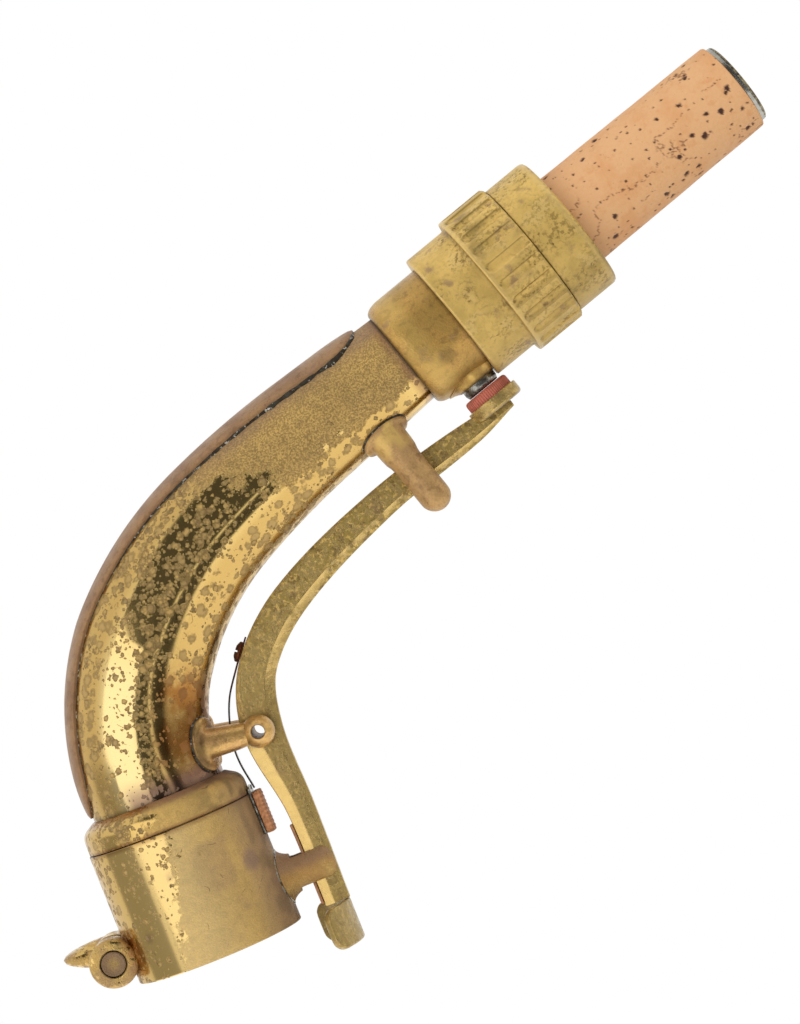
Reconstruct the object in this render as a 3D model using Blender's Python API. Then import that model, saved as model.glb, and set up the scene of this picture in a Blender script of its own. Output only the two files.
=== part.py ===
"""Alto saxophone neck with a clamp socket, an underslung octave key and a tuning nut.

Blender 4.5 script, in metres with +Z up. The socket stands on the origin, the neck bends in the
XZ plane towards +X, and the clamp's thumb screw is on the +Y side. Every piece that comes apart
on a bench is one object. Pieces that move sit on an empty on their joint's axis.
"""

from collections import namedtuple
from math import asin, ceil, cos, pi, radians, sin, sqrt

import bmesh
import bpy
from mathutils import Matrix, Vector

MM = 0.001

# Gaps between neighbours
SOLDER_GAP = 0.10 * MM      # pieces that are soldered, glued or screwed tight
RUNNING_GAP = 0.14 * MM     # pieces that turn or slide in each other
SIDE_PLAY = 0.25 * MM       # the lever between its guides

# Fineness of the facets
ROUND = 28
SOCKET_ROUND = 44
MIDDLE_ROUND = 24
SMALL_ROUND = 20
SCREW_ROUND = 16
MILL_ROUND = 12
TUBE_SIDES = ROUND         # so that the facets of what sits on the tube line up with its own
BALL_STEPS = 6
CORNER_STEPS = 4
ARC_STEPS = 12
BEND_STEP = 5.0 * MM
LEVER_STEP = 4.0 * MM
SHARP_ANGLE = radians(40)
WELD = 0.001 * MM

# Socket: a split sleeve outside, a tenon inside, and the collar that joins both to the tube
SOCKET_RADIUS = 14.1 * MM
SOCKET_WALL = 0.9 * MM
SOCKET_HEIGHT = 22.0 * MM
TENON_SPACE = 1.1 * MM      # between tenon and sleeve, for the ring on the instrument's body
TENON_WALL = 0.7 * MM
TENON_SETBACK = 1.0 * MM
COLLAR_HEIGHT = 5.0 * MM
COLLAR_BAND = 0.8 * MM
COLLAR_INSET = 0.2 * MM
COLLAR_LIP = 0.3 * MM
COLLAR_BULGE = 0.7 * MM
SLIT_WIDTH = 1.6 * MM
SLIT_HEIGHT = 14.0 * MM
SLIT_DRILL_RADIUS = 1.3 * MM
SAW_OVERRUN = 2.5 * MM      # how far the saw and drill go past the sleeve's wall

# Clamp: two lugs across the slit and the thumb screw through them
CLAMP_HEIGHT = 4.9 * MM
LUG_RADIUS = 4.0 * MM
LUG_LENGTH = 6.0 * MM
LUG_ROUNDING = 2.2 * MM
SCREW_RADIUS = 2.0 * MM
SCREW_RECESS = 0.3 * MM     # the screw's end below the front lug's face
THUMB_COLLAR_RADIUS = 3.6 * MM
WING_RADIUS = 10.4 * MM
WING_HALF_LENGTH = 5.2 * MM
WING_HALF_THICKNESS = 1.9 * MM
WING_BITE = 1.0 * MM        # how far the wing is sunk into the screw's collar
WING_CLEARANCE = 1.0 * MM   # from the socket's widest point to the wing's middle
WING_LEAN = radians(-8)

# Neck tube: arcs of (radius, degrees) after a straight foot, then a straight top end
TUBE_SETBACK = 2.9 * MM     # how much less than the socket's radius the tube's is
TUBE_TIP_RADIUS = 8.2 * MM
TUBE_WALL = 0.7 * MM
TAPER_START = 30.0 * MM     # along the centreline, from the tube's foot
BEND_START = 28.6 * MM
BENDS = ((35.3 * MM, 41.2), (53.9 * MM, 23.0), (144.0 * MM, 8.1))
NECK_STRAIGHT = 19.3 * MM

# Brace: a strap along the outside of the bend
BRACE_THICKNESS = 0.95 * MM
BRACE_HALF_WIDTH = 5.2 * MM
BRACE_TIP_HALF_WIDTH = 5.6 * MM
BRACE_START = 5.5 * MM      # along the centreline, from the tube's foot
BRACE_END_SETBACK = 4.8 * MM    # from the receiver's shoulder
BRACE_POINT_LENGTH = 7.0 * MM
BRACE_POINT = 0.3           # share of the width and thickness left at each end
BRACE_POINT_STEPS = 4
BRACE_ARC_POINTS = 7

# Tuning nut's receiver, measured along the top end's axis from its shoulder
RECEIVER_WALL = 1.6 * MM
RECEIVER_ROUNDING = 2.0 * MM
RECEIVER_SEAT = 4.6 * MM    # how far the tube goes in
RECEIVER_LENGTH = 22.3 * MM
FLANGE_STEP = 0.6 * MM
FLANGE_LENGTH = 1.9 * MM

# Tuning nut and its screwed-on end cap
NUT_START = 10.4 * MM
NUT_WALL = 1.76 * MM
GRIP_START = 18.3 * MM
GRIP_STEP = 1.35 * MM       # how far the fluted grip stands out of the nut's band
GRIP_LENGTH = 9.0 * MM
CAP_STEP = 0.5 * MM         # the same for the end cap
CAP_LENGTH = 7.8 * MM
CAP_WALL = 1.4 * MM
SPIGOT_WALL = 0.9 * MM
SPIGOT_LENGTH = 2.0 * MM
NUT_CHAMFER = 0.35 * MM
FLUTES = 24
FLUTE_RADIUS = 1.45 * MM
FLUTE_DEPTH = 0.32 * MM     # less than the chamfer, where a flute runs out
FLUTE_RIM = 0.6 * MM        # plain rim left at the band's end of a flute
KEEPER_LENGTH = 1.6 * MM
KEEPER_SPACE = 0.7 * MM     # between the keeper and the rib that passes through it

# Mouthpipe: the sliding tube that carries the cork
PIPE_SETBACK = 1.2 * MM     # how much less than the tube's end radius the pipe's is
PIPE_WALL = 0.6 * MM
PIPE_START = 12.6 * MM
CORK_END = 69.5 * MM
CORK_THICKNESS = 1.33 * MM
CORK_TAPER = 0.28 * MM
CORK_ROUNDING = 0.3 * MM
TIP_RING_LENGTH = 1.1 * MM
TIP_RING_STEP = 0.35 * MM   # how far the ring stands out of the pipe
SCREW_RING_LENGTH = 3.0 * MM
RIB_LENGTH = 11.0 * MM
RIB_WIDTH = 1.6 * MM
RIB_HEIGHT = 1.1 * MM

# Octave vent on the underside of the receiver
VENT_PLACE = 7.1 * MM       # along the receiver from its shoulder
VENT_HOLE_RADIUS = 1.3 * MM
PIP_RADIUS = 3.1 * MM
PIP_STAND = 2.3 * MM        # how far the pip stands out of the receiver
PIP_CHAMFER = 0.5 * MM
SADDLE_RADIUS = 4.7 * MM
SADDLE_STAND = 0.8 * MM
SADDLE_RIM = 0.25 * MM
SADDLE_FLARE = 0.3 * MM

# Pad and cup
PAD_RADIUS = 4.1 * MM
PAD_THICKNESS = 2.5 * MM
PAD_ROUNDING = 0.4 * MM
CUP_WALL = 0.5 * MM
CUP_HEIGHT = 2.2 * MM
CUP_RECESS = 0.8 * MM
CUP_ROUNDING = 0.7 * MM

# Octave lever in the XZ plane. Each point is two places and half the lever's depth. The foot's are
# from the socket's wall and the origin's height, the elbow's from the pivot, the arm's along and
# below the top end's axis from the shoulder, and the tip's the same from the vent and the cup's back
LEVER_FOOT = ((6.6 * MM, 0.4 * MM, 2.10 * MM), (6.6 * MM, 17.0 * MM, 2.35 * MM))
LEVER_ELBOW = ((0.5 * MM, 0.0 * MM, 3.35 * MM), (3.5 * MM, 9.5 * MM, 3.10 * MM))
LEVER_ARM = ((-38.67 * MM, 18.5 * MM, 2.98 * MM), (-17.93 * MM, 15.99 * MM, 2.55 * MM))
LEVER_TIP = ((-5.54 * MM, 0.13 * MM, 1.95 * MM), (2.09 * MM, 0.57 * MM, 0.50 * MM))
LEVER_HALF_WIDTH = 1.6 * MM
LEVER_CHAMFER = 0.7 * MM
PIVOT_STAND = 5.1 * MM      # from the socket's wall out to the pivot
PIVOT_HEIGHT = 31.0 * MM

# Foot plate that the instrument's octave pin pushes on
FOOT_RADIUS = 13.8 * MM
FOOT_THICKNESS = 1.4 * MM
FOOT_HALF_ANGLE = radians(50)
FOOT_HEIGHT = 6.9 * MM
FOOT_STAND = 8.6 * MM       # from the socket's wall out to the plate's outer face

# Pivot posts, hinge barrel and the hollow pin
POST_PLACE = 11.4 * MM      # along the centreline, from the tube's foot
POST_FOOT_SPREAD = 4.8 * MM     # from the middle plane to a post's foot
POST_SPREAD = 5.2 * MM      # from the middle plane to a ball's centre
POST_FLANGE_RADIUS = 4.5 * MM
POST_STEM_BASE_RADIUS = 2.5 * MM
POST_STEM_RADIUS = 1.85 * MM
BALL_RADIUS = 2.7 * MM
PIN_RADIUS = 1.5 * MM
PIN_BORE = 1.15 * MM
PIN_RECESS = 0.2 * MM
BARREL_WALL = 0.85 * MM
FLANGE_THICKNESS = 1.0 * MM     # saddle flanges of posts and pegs
FLANGE_WRAP = 2.3 * MM      # how far round the tube those flanges reach

# Guard pegs on both sides of the lever, under the top end
PEG_SETBACK = 10.1 * MM     # from the receiver's shoulder back along the tube
PEG_RADIUS = 2.55 * MM
PEG_NECK_RADIUS = 3.1 * MM
PEG_FLANGE_RADIUS = 4.3 * MM
PEG_LENGTH = 14.4 * MM      # below the tube's wall
PEG_NECK_LENGTH = 4.0 * MM

# Key guide: a forked post on the socket
GUIDE_HEIGHT = 7.3 * MM
GUIDE_RADIUS = 3.15 * MM
GUIDE_FLANGE_RADIUS = 4.6 * MM
GUIDE_NECK_LENGTH = 2.2 * MM
GUIDE_FLARE = 0.35 * MM     # hollow of the flare between flange and post
GUIDE_LENGTH = 8.8 * MM     # from the socket's wall to its round end
GUIDE_SLOT_FLOOR = 1.9 * MM     # solid stretch between the socket and the slot

# Bumper on the socket under the lever, and the leather under the lever's foot end
BUMPER_LOW = 15.0 * MM
BUMPER_HEIGHT = 7.0 * MM
BUMPER_HALF_ANGLE = radians(13)
BUMPER_PLATE = 0.4 * MM
BUMPER_LIFT = 1.2 * MM      # plate above the cork, where the spring slides
BUMPER_CORK = 1.2 * MM
LINER_LOW = 1.0 * MM
LINER_HIGH = 14.7 * MM
LINER_THICKNESS = 0.45 * MM
LINER_HALF_WIDTH = 1.4 * MM
LINER_STEPS = 4

# Flat spring, from its screw on the lever to the bumper's plate. Its bow is measured out from the
# socket's wall and up from the origin
SPRING_THICKNESS = 0.35 * MM
SPRING_ROOT_HALF_WIDTH = 1.8 * MM
SPRING_TIP_HALF_WIDTH = 1.1 * MM
SPRING_SCREW_HEIGHT = 43.6 * MM
SPRING_ROOT = 2.6 * MM      # leaf past the screw
SPRING_TIP_ABOVE_CORK = 0.5 * MM
SPRING_BOW = ((2.3 * MM, 37.2 * MM), (0.4 * MM, 31.5 * MM), (0.1 * MM, 27.5 * MM))
SPRING_STEP = 2.5 * MM
SCREW_HEAD_RADIUS = 1.7 * MM
SCREW_HEAD_HEIGHT = 0.9 * MM
SCREW_HEAD_CROWN = 0.15 * MM
SCREW_SHANK_RADIUS = 0.8 * MM
SCREW_SHANK_LENGTH = 3.0 * MM

# Sizes that follow from the ones above
TUBE_RADIUS = SOCKET_RADIUS - TUBE_SETBACK
TENON_RADIUS = SOCKET_RADIUS - SOCKET_WALL - TENON_SPACE
RECEIVER_BORE = TUBE_TIP_RADIUS + SOLDER_GAP
RECEIVER_RADIUS = RECEIVER_BORE + RECEIVER_WALL
TUBE_FOOT = SOCKET_HEIGHT + 2 * SOLDER_GAP
COLLAR_TOP = SOCKET_HEIGHT + COLLAR_HEIGHT
CAP_START = GRIP_START + GRIP_LENGTH + SOLDER_GAP
CAP_END = CAP_START + CAP_LENGTH
NUT_BORE = RECEIVER_RADIUS + RUNNING_GAP
NUT_BAND_RADIUS = NUT_BORE + NUT_WALL
GRIP_RADIUS = NUT_BAND_RADIUS + GRIP_STEP
CAP_RADIUS = NUT_BAND_RADIUS + CAP_STEP
PIPE_RADIUS = TUBE_TIP_RADIUS - PIPE_SETBACK
KEEPER_BORE = PIPE_RADIUS + RIB_HEIGHT + KEEPER_SPACE
CORK_BASE_RADIUS = PIPE_RADIUS + CORK_THICKNESS
CORK_TIP_RADIUS = CORK_BASE_RADIUS - CORK_TAPER
TIP_RING_RADIUS = PIPE_RADIUS + TIP_RING_STEP
FLANGE_RADIUS = RECEIVER_RADIUS + FLANGE_STEP
NUT_COUNTERBORE = FLANGE_RADIUS + RUNNING_GAP
FLANGE_START = RECEIVER_LENGTH - FLANGE_LENGTH
KEEPER_START = RECEIVER_LENGTH + RUNNING_GAP
KEEPER_END = KEEPER_START + KEEPER_LENGTH
SPIGOT_RADIUS = NUT_COUNTERBORE + SPIGOT_WALL
CHAMBER_END = CAP_END - CAP_WALL
SCREW_RING_START = (KEEPER_END + CHAMBER_END - SCREW_RING_LENGTH) / 2
CORK_START = SCREW_RING_START + SCREW_RING_LENGTH + SOLDER_GAP
CAP_MOUTH = CORK_BASE_RADIUS + RUNNING_GAP
PIP_END = RECEIVER_RADIUS + PIP_STAND
PAD_START = PIP_END + SOLDER_GAP
CUP_RADIUS = PAD_RADIUS + SOLDER_GAP + CUP_WALL
CUP_BACK = PAD_START + PAD_THICKNESS + SOLDER_GAP + CUP_HEIGHT - CUP_RECESS
HINGE_HOLE = PIN_RADIUS + SOLDER_GAP
BARREL_BORE = PIN_RADIUS + RUNNING_GAP
BARREL_RADIUS = BARREL_BORE + BARREL_WALL
BALL_HALF = sqrt(BALL_RADIUS ** 2 - HINGE_HOLE ** 2)
CLAMP_OFFSET = SOCKET_RADIUS + RUNNING_GAP + SCREW_RADIUS
LUG_START = SLIT_WIDTH / 2
LUG_END = LUG_START + LUG_LENGTH
BUMPER_FACE = SOCKET_RADIUS + SOLDER_GAP + BUMPER_PLATE

Finish = namedtuple("Finish", "colour roughness metallic")
LACQUERED_BRASS = Finish((0.60, 0.42, 0.14), 0.32, 1.0)
BROWN_BRASS = Finish((0.42, 0.25, 0.11), 0.38, 1.0)
SATIN_BRASS = Finish((0.50, 0.39, 0.16), 0.45, 1.0)
KEY_BRASS = Finish((0.40, 0.32, 0.14), 0.45, 1.0)
DARK_SILVER = Finish((0.30, 0.28, 0.25), 0.40, 1.0)
SPRING_STEEL = Finish((0.14, 0.10, 0.08), 0.40, 1.0)
CORK = Finish((0.72, 0.44, 0.25), 0.80, 0.0)
LEATHER = Finish((0.36, 0.11, 0.07), 0.70, 0.0)


def clear_scene():
    """Removes whatever the file held before."""
    for obj in list(bpy.data.objects):
        bpy.data.objects.remove(obj, do_unlink=True)


def heading(lean):
    """Direction in the XZ plane that leans from +Z towards +X."""
    return Vector((sin(lean), 0.0, cos(lean)))


def outward(lean):
    """Direction square to heading(lean), on the outside of the bend."""
    return Vector((-cos(lean), 0.0, sin(lean)))


def aim(start, end):
    """Frame at start whose Z axis points at end."""
    turn = (end - start).to_track_quat("Z", "Y")
    return Matrix.Translation(start) @ turn.to_matrix().to_4x4()


def bow(start, end, bulge):
    """Points from start to end on a flat arc that stands bulge off its chord, on the left."""
    start = Vector(start)
    end = Vector(end)
    run = end - start
    middle = (start + end) / 2 + 2 * bulge * Vector((-run.y, run.x)).normalized()
    shares = [i / CORNER_STEPS for i in range(CORNER_STEPS + 1)]
    return [tuple(start * (1 - t) ** 2 + middle * 2 * t * (1 - t) + end * t * t) for t in shares]


def quarter(centre, radius, start=0.0):
    """Points on a quarter circle about centre, from the angle start, counter-clockwise."""
    angles = [start + pi / 2 * i / CORNER_STEPS for i in range(CORNER_STEPS + 1)]
    return [(centre[0] + radius * cos(a), centre[1] + radius * sin(a)) for a in angles]


def round_end(radius, end):
    """Quarter circle of (radius, height) points that closes a turned stem at the height end."""
    return quarter((0.0, end - radius), radius)[:-1] + [(0.0, end)]


def smooth_run(points, step):
    """Hermite samples, about step apart, through tuples whose first two values are a place."""
    points = [Vector(point) for point in points]
    knots = [0.0]
    for here, after in zip(points, points[1:]):
        knots.append(knots[-1] + (after - here).length)
    last = len(points) - 1
    slopes = []
    for i in range(last + 1):
        low, high = max(i - 1, 0), min(i + 1, last)
        slopes.append((points[high] - points[low]) / (knots[high] - knots[low]))
    samples = []
    for i in range(last):
        span = knots[i + 1] - knots[i]
        count = ceil(span / step)
        for k in range(count):
            t = k / count
            blend = t * t * (3 - 2 * t)
            place = points[i] * (1 - blend) + points[i + 1] * blend
            place += slopes[i] * span * t * (1 - t) ** 2
            place -= slopes[i + 1] * span * t * t * (1 - t)
            samples.append(tuple(place))
    samples.append(tuple(points[last]))
    return samples


def turned(profile, segments=ROUND):
    """Spins (radius, height) points about Z. A profile that starts off the axis is a closed ring."""
    bm = bmesh.new()
    verts = [bm.verts.new((radius, 0.0, height)) for radius, height in profile]
    edges = [bm.edges.new(pair) for pair in zip(verts, verts[1:])]
    if profile[0][0] > 0.0:
        edges.append(bm.edges.new((verts[-1], verts[0])))
    bmesh.ops.spin(
        bm, geom=verts + edges, cent=(0, 0, 0), axis=(0, 0, 1), angle=2 * pi, steps=segments, use_merge=True
    )
    bmesh.ops.remove_doubles(bm, verts=bm.verts, dist=WELD)
    return bm


def cylinder(radius, low, high, segments=ROUND):
    """Solid cylinder along Z."""
    return turned([(0.0, low), (radius, low), (radius, high), (0.0, high)], segments)


def loft(rings, loop=False):
    """Skins a run of equal rings. A loop joins the last ring to the first, else both ends are capped."""
    bm = bmesh.new()
    rows = [[bm.verts.new(point) for point in ring] for ring in rings]
    pairs = list(zip(rows, rows[1:]))
    if loop:
        pairs.append((rows[-1], rows[0]))
    else:
        bm.faces.new(rows[0])
        bm.faces.new(rows[-1])
    for low, high in pairs:
        for i in range(len(low)):
            j = (i + 1) % len(low)
            bm.faces.new((low[i], low[j], high[j], high[i]))
    return bm


def swept_bar(path, section):
    """Lofts section(value) along a path of (x, z, value). A section is (across, depth) points."""
    rings = []
    for before, here, after in zip(path[:1] + path, path, path[1:] + path[-1:]):
        run = Vector((after[0] - before[0], 0.0, after[1] - before[1])).normalized()
        side = Vector((-run.z, 0.0, run.x))
        centre = Vector((here[0], 0.0, here[1]))
        points = section(here[2])
        rings.append([centre + side * across + Vector((0.0, depth, 0.0)) for across, depth in points])
    return loft(rings)


def rectangle(half_across, half_depth):
    """Section with four corners."""
    return [
        (-half_across, -half_depth),
        (half_across, -half_depth),
        (half_across, half_depth),
        (-half_across, half_depth),
    ]


def chamfered(half_across, half_depth, chamfer):
    """Section with four chamfered corners. The chamfer never takes more than half of a side."""
    cut = min(chamfer, half_across / 2, half_depth / 2)
    corners = []
    for side, depth in ((-1, -1), (1, -1), (1, 1), (-1, 1)):
        ends = [
            (side * half_across, depth * (half_depth - cut)),
            (side * (half_across - cut), depth * half_depth),
        ]
        corners += ends if side == depth else ends[::-1]
    return corners


def arc_block(inner, outer, half_angle, low, high):
    """Block between two radii about Z, centred on +X."""
    corners = ((inner, low), (outer, low), (outer, high), (inner, high))
    angles = [half_angle * (2 * i / ARC_STEPS - 1) for i in range(ARC_STEPS + 1)]
    return loft([[Vector((r * cos(a), r * sin(a), z)) for r, z in corners] for a in angles])


def add_object(name, bm, frame):
    """Closes a bmesh into a linked object, shaded smooth between its sharp edges."""
    bmesh.ops.recalc_face_normals(bm, faces=bm.faces)
    mesh = bpy.data.meshes.new(name)
    bm.to_mesh(mesh)
    bm.free()
    mesh.shade_smooth()
    mesh.set_sharp_from_angle(angle=SHARP_ANGLE)
    obj = bpy.data.objects.new(name, mesh)
    obj.matrix_world = frame
    bpy.context.scene.collection.objects.link(obj)
    return obj


def add_piece(name, bm, finish, frame=Matrix(), joint=None):
    """Adds one piece of the neck with its own material. A moving piece hangs on its joint's empty."""
    obj = add_object(name, bm, frame)
    material = bpy.data.materials.new(name)
    material.use_nodes = True
    shader = material.node_tree.nodes["Principled BSDF"]
    shader.inputs["Base Color"].default_value = (*finish.colour, 1.0)
    shader.inputs["Roughness"].default_value = finish.roughness
    shader.inputs["Metallic"].default_value = finish.metallic
    obj.data.materials.append(material)
    if joint:
        obj.parent = joint
        obj.matrix_parent_inverse = joint.matrix_world.inverted()
    return obj


def add_tool(name, bm, frame=Matrix()):
    """Adds a cutting or joining shape that isn't a piece."""
    obj = add_object(name, bm, frame)
    obj.hide_render = True
    obj.display_type = "WIRE"
    return obj


def add_joint(name, frame):
    """Adds an empty on a joint's axis."""
    empty = bpy.data.objects.new(name, None)
    empty.empty_display_size = 10 * MM
    empty.matrix_world = frame
    bpy.context.scene.collection.objects.link(empty)
    bpy.context.view_layer.update()
    return empty


def combine(obj, operation, tool):
    """Puts a Boolean on a piece: DIFFERENCE, UNION or INTERSECT."""
    modifier = obj.modifiers.new(tool.name, "BOOLEAN")
    modifier.operation = operation
    modifier.object = tool


def neck_stations():
    """Tube's centreline as (place, lean, length so far): straight foot, arcs, straight top end."""
    place = Vector((0.0, 0.0, BEND_START))
    lean = 0.0
    length = BEND_START - TUBE_FOOT
    stations = [(Vector((0.0, 0.0, TUBE_FOOT)), 0.0, 0.0), (place.copy(), lean, length)]
    for radius, degrees in BENDS:
        steps = ceil(radius * radians(degrees) / BEND_STEP)
        turn = radians(degrees) / steps
        for _ in range(steps):
            place = place + 2 * radius * sin(turn / 2) * heading(lean + turn / 2)
            lean += turn
            length += radius * turn
            stations.append((place.copy(), lean, length))
    steps = ceil(NECK_STRAIGHT / BEND_STEP)
    for i in range(1, steps + 1):
        run = NECK_STRAIGHT * i / steps
        stations.append((place + run * heading(lean), lean, length + run))
    return stations


NECK = neck_stations()
SHOULDER, TIP_LEAN, NECK_LENGTH = NECK[-1]
TIP = Matrix.Translation(SHOULDER) @ Matrix.Rotation(TIP_LEAN, 4, "Y")
VENT = TIP @ Matrix.Translation((0.0, 0.0, VENT_PLACE)) @ Matrix.Rotation(pi / 2, 4, "Y")
PIVOT = Vector((SOCKET_RADIUS + PIVOT_STAND, 0.0, PIVOT_HEIGHT))
CLAMP = Vector((-CLAMP_OFFSET, 0.0, CLAMP_HEIGHT))


def lever_points():
    """The lever's points as x, z and half its depth, from the foot to the pad."""
    points = [(SOCKET_RADIUS + x, z, half) for x, z, half in LEVER_FOOT]
    points += [(PIVOT.x + x, PIVOT.z + z, half) for x, z, half in LEVER_ELBOW]
    upper = list(LEVER_ARM)
    upper += [(VENT_PLACE + along, CUP_BACK + below, half) for along, below, half in LEVER_TIP]
    for along, below, half in upper:
        place = SHOULDER + along * heading(TIP_LEAN) - below * outward(TIP_LEAN)
        points.append((place.x, place.z, half))
    return points


LEVER = smooth_run(lever_points(), LEVER_STEP)


def beside_lever(height, distance):
    """Place that stands off the lever's inner edge at a height, and the edge's direction there."""
    edge = []
    for before, here, after in zip(LEVER[:1] + LEVER, LEVER, LEVER[1:] + LEVER[-1:]):
        run = Vector((after[0] - before[0], after[1] - before[1])).normalized()
        edge.append(Vector((here[0] - run.y * here[2], here[1] + run.x * here[2])))
    above = next(i for i, place in enumerate(edge) if place.y > height)
    low, high = edge[above - 1], edge[above]
    run = (high - low).normalized()
    place = low.lerp(high, (height - low.y) / (high.y - low.y))
    return place + distance * Vector((-run.y, run.x)), run


def tube_radius(length):
    """Outer radius of the tube: plain at the foot, then a straight taper to the receiver."""
    share = (length - TAPER_START) / (NECK_LENGTH - TAPER_START)
    return TUBE_RADIUS + (TUBE_TIP_RADIUS - TUBE_RADIUS) * min(max(share, 0.0), 1.0)


def tube_ring(station, extra):
    """Ring round the tube, extra outside its wall."""
    place, lean, length = station
    radius = tube_radius(length) + extra
    angles = [2 * pi * i / TUBE_SIDES for i in range(TUBE_SIDES)]
    return [place + radius * (cos(a) * outward(lean) + sin(a) * Vector((0, 1, 0))) for a in angles]


def station_at(length):
    """Station of the centreline at any length along it."""
    above = next(i for i, station in enumerate(NECK) if station[2] > length)
    low, high = NECK[above - 1], NECK[above]
    share = (length - low[2]) / (high[2] - low[2])
    return low[0].lerp(high[0], share), low[1] + (high[1] - low[1]) * share, length


def inner_skin(length, side):
    """Place on the tube's wall inside the bend, at a length along it and a distance off the middle."""
    place, lean, _ = station_at(length)
    reach = sqrt(tube_radius(length) ** 2 - side ** 2)
    return place - reach * outward(lean) + Vector((0.0, side, 0.0))


def tube_core(extra):
    """The tube's outer form, filled, extra outside its wall."""
    return loft([tube_ring(station, extra) for station in NECK])


def make_tools():
    """Shapes that more than one piece is fitted to."""
    crossways = aim(PIVOT, PIVOT + Vector((0.0, 1.0, 0.0)))
    reach = POST_SPREAD + 2 * BALL_RADIUS
    seat = SOCKET_RADIUS + SOLDER_GAP
    return {
        "tube_seat": add_tool("tube_seat", tube_core(SOLDER_GAP)),
        "tube_flange": add_tool("tube_flange", tube_core(SOLDER_GAP + FLANGE_THICKNESS)),
        "sleeve_seat": add_tool("sleeve_seat", cylinder(seat, -FOOT_HEIGHT, COLLAR_TOP, SOCKET_ROUND)),
        "hinge_hole": add_tool("hinge_hole", cylinder(HINGE_HOLE, -reach, reach, SMALL_ROUND), crossways),
    }


def make_socket():
    """Sleeve with its slit, the tenon inside it and the collar above both."""
    sleeve_bore = SOCKET_RADIUS - SOCKET_WALL
    sleeve = add_piece(
        "socket_sleeve",
        turned(
            [
                (sleeve_bore, 0.0),
                (SOCKET_RADIUS, 0.0),
                (SOCKET_RADIUS, SOCKET_HEIGHT),
                (sleeve_bore, SOCKET_HEIGHT),
            ],
            SOCKET_ROUND,
        ),
        LACQUERED_BRASS,
    )
    near = sleeve_bore - SAW_OVERRUN
    far = SOCKET_RADIUS + SAW_OVERRUN
    slit = rectangle(SLIT_WIDTH / 2, SLIT_HEIGHT)
    slit_rings = [[Vector((x, y, z)) for y, z in slit] for x in (-far, -near)]
    combine(sleeve, "DIFFERENCE", add_tool("slit_saw", loft(slit_rings)))
    drill_start = Vector((0.0, 0.0, SLIT_HEIGHT))
    drill = cylinder(SLIT_DRILL_RADIUS, near, far, SMALL_ROUND)
    drill_frame = aim(drill_start, drill_start - Vector((1.0, 0.0, 0.0)))
    combine(sleeve, "DIFFERENCE", add_tool("slit_drill", drill, drill_frame))

    tenon_bore = TENON_RADIUS - TENON_WALL
    add_piece(
        "inner_tenon",
        turned(
            [
                (tenon_bore, TENON_SETBACK),
                (TENON_RADIUS, TENON_SETBACK),
                (TENON_RADIUS, SOCKET_HEIGHT),
                (tenon_bore, SOCKET_HEIGHT),
            ]
        ),
        SATIN_BRASS,
    )

    bore = TUBE_RADIUS + SOLDER_GAP
    foot = SOCKET_HEIGHT + SOLDER_GAP
    rim = SOCKET_RADIUS - COLLAR_INSET
    shoulder = bow((rim, foot + COLLAR_BAND), (bore + COLLAR_LIP, COLLAR_TOP), -COLLAR_BULGE)
    collar = [(bore, foot), (rim, foot)] + shoulder + [(bore, COLLAR_TOP)]
    add_piece("socket_collar", turned(collar), LACQUERED_BRASS)


def make_clamp(tools):
    """Two lugs on either side of the slit, and the thumb screw that pulls them together."""
    bore = SCREW_RADIUS + RUNNING_GAP
    nose = quarter((LUG_RADIUS - LUG_ROUNDING, LUG_END - LUG_ROUNDING), LUG_ROUNDING)
    nose = [point for point in nose if point[0] > bore]
    profile = [(bore, LUG_START), (LUG_RADIUS, LUG_START)] + nose + [(bore, LUG_END)]
    for name, side in (("clamp_lug_front", -1.0), ("clamp_lug_rear", 1.0)):
        frame = aim(CLAMP, CLAMP + Vector((0.0, side, 0.0)))
        lug = add_piece(name, turned(profile, SMALL_ROUND), LACQUERED_BRASS, frame)
        combine(lug, "DIFFERENCE", tools["sleeve_seat"])

    frame = aim(CLAMP, CLAMP + Vector((0.0, 1.0, 0.0)))
    joint = add_joint("thumb_screw_axis", frame)
    collar_low = LUG_END + RUNNING_GAP
    wing_middle = SOCKET_RADIUS + WING_CLEARANCE
    collar_high = wing_middle - WING_HALF_LENGTH + WING_BITE
    shank = [
        (0.0, SCREW_RECESS - LUG_END),
        (SCREW_RADIUS, SCREW_RECESS - LUG_END),
        (SCREW_RADIUS, collar_low),
        (THUMB_COLLAR_RADIUS, collar_low),
        (THUMB_COLLAR_RADIUS, collar_high),
        (0.0, collar_high),
    ]
    screw = add_piece("thumb_screw", turned(shank, SMALL_ROUND), BROWN_BRASS, frame, joint)
    wing = bmesh.new()
    bmesh.ops.create_uvsphere(wing, u_segments=SMALL_ROUND, v_segments=SMALL_ROUND // 2, radius=1.0)
    half_sizes = Vector((WING_RADIUS, WING_HALF_THICKNESS, WING_HALF_LENGTH))
    wing_centre = CLAMP + Vector((0.0, wing_middle, 0.0))
    wing_frame = Matrix.Translation(wing_centre) @ Matrix.Rotation(-WING_LEAN, 4, "Y")
    wing_frame = wing_frame @ Matrix.Rotation(-pi / 2, 4, "X") @ Matrix.Diagonal(half_sizes).to_4x4()
    bmesh.ops.transform(wing, matrix=wing_frame, verts=wing.verts)
    combine(screw, "UNION", add_tool("thumb_wing", wing))


def make_tube():
    """Tapered tube, open at both ends: up the outside and back down the bore."""
    top = (SHOULDER + (RECEIVER_SEAT - SOLDER_GAP) * heading(TIP_LEAN), TIP_LEAN, NECK_LENGTH)
    stations = NECK + [top]
    outside = [tube_ring(station, 0.0) for station in stations]
    bore = [tube_ring(station, -TUBE_WALL) for station in reversed(stations)]
    add_piece("neck_tube", loft(outside + bore, loop=True), LACQUERED_BRASS)


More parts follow.
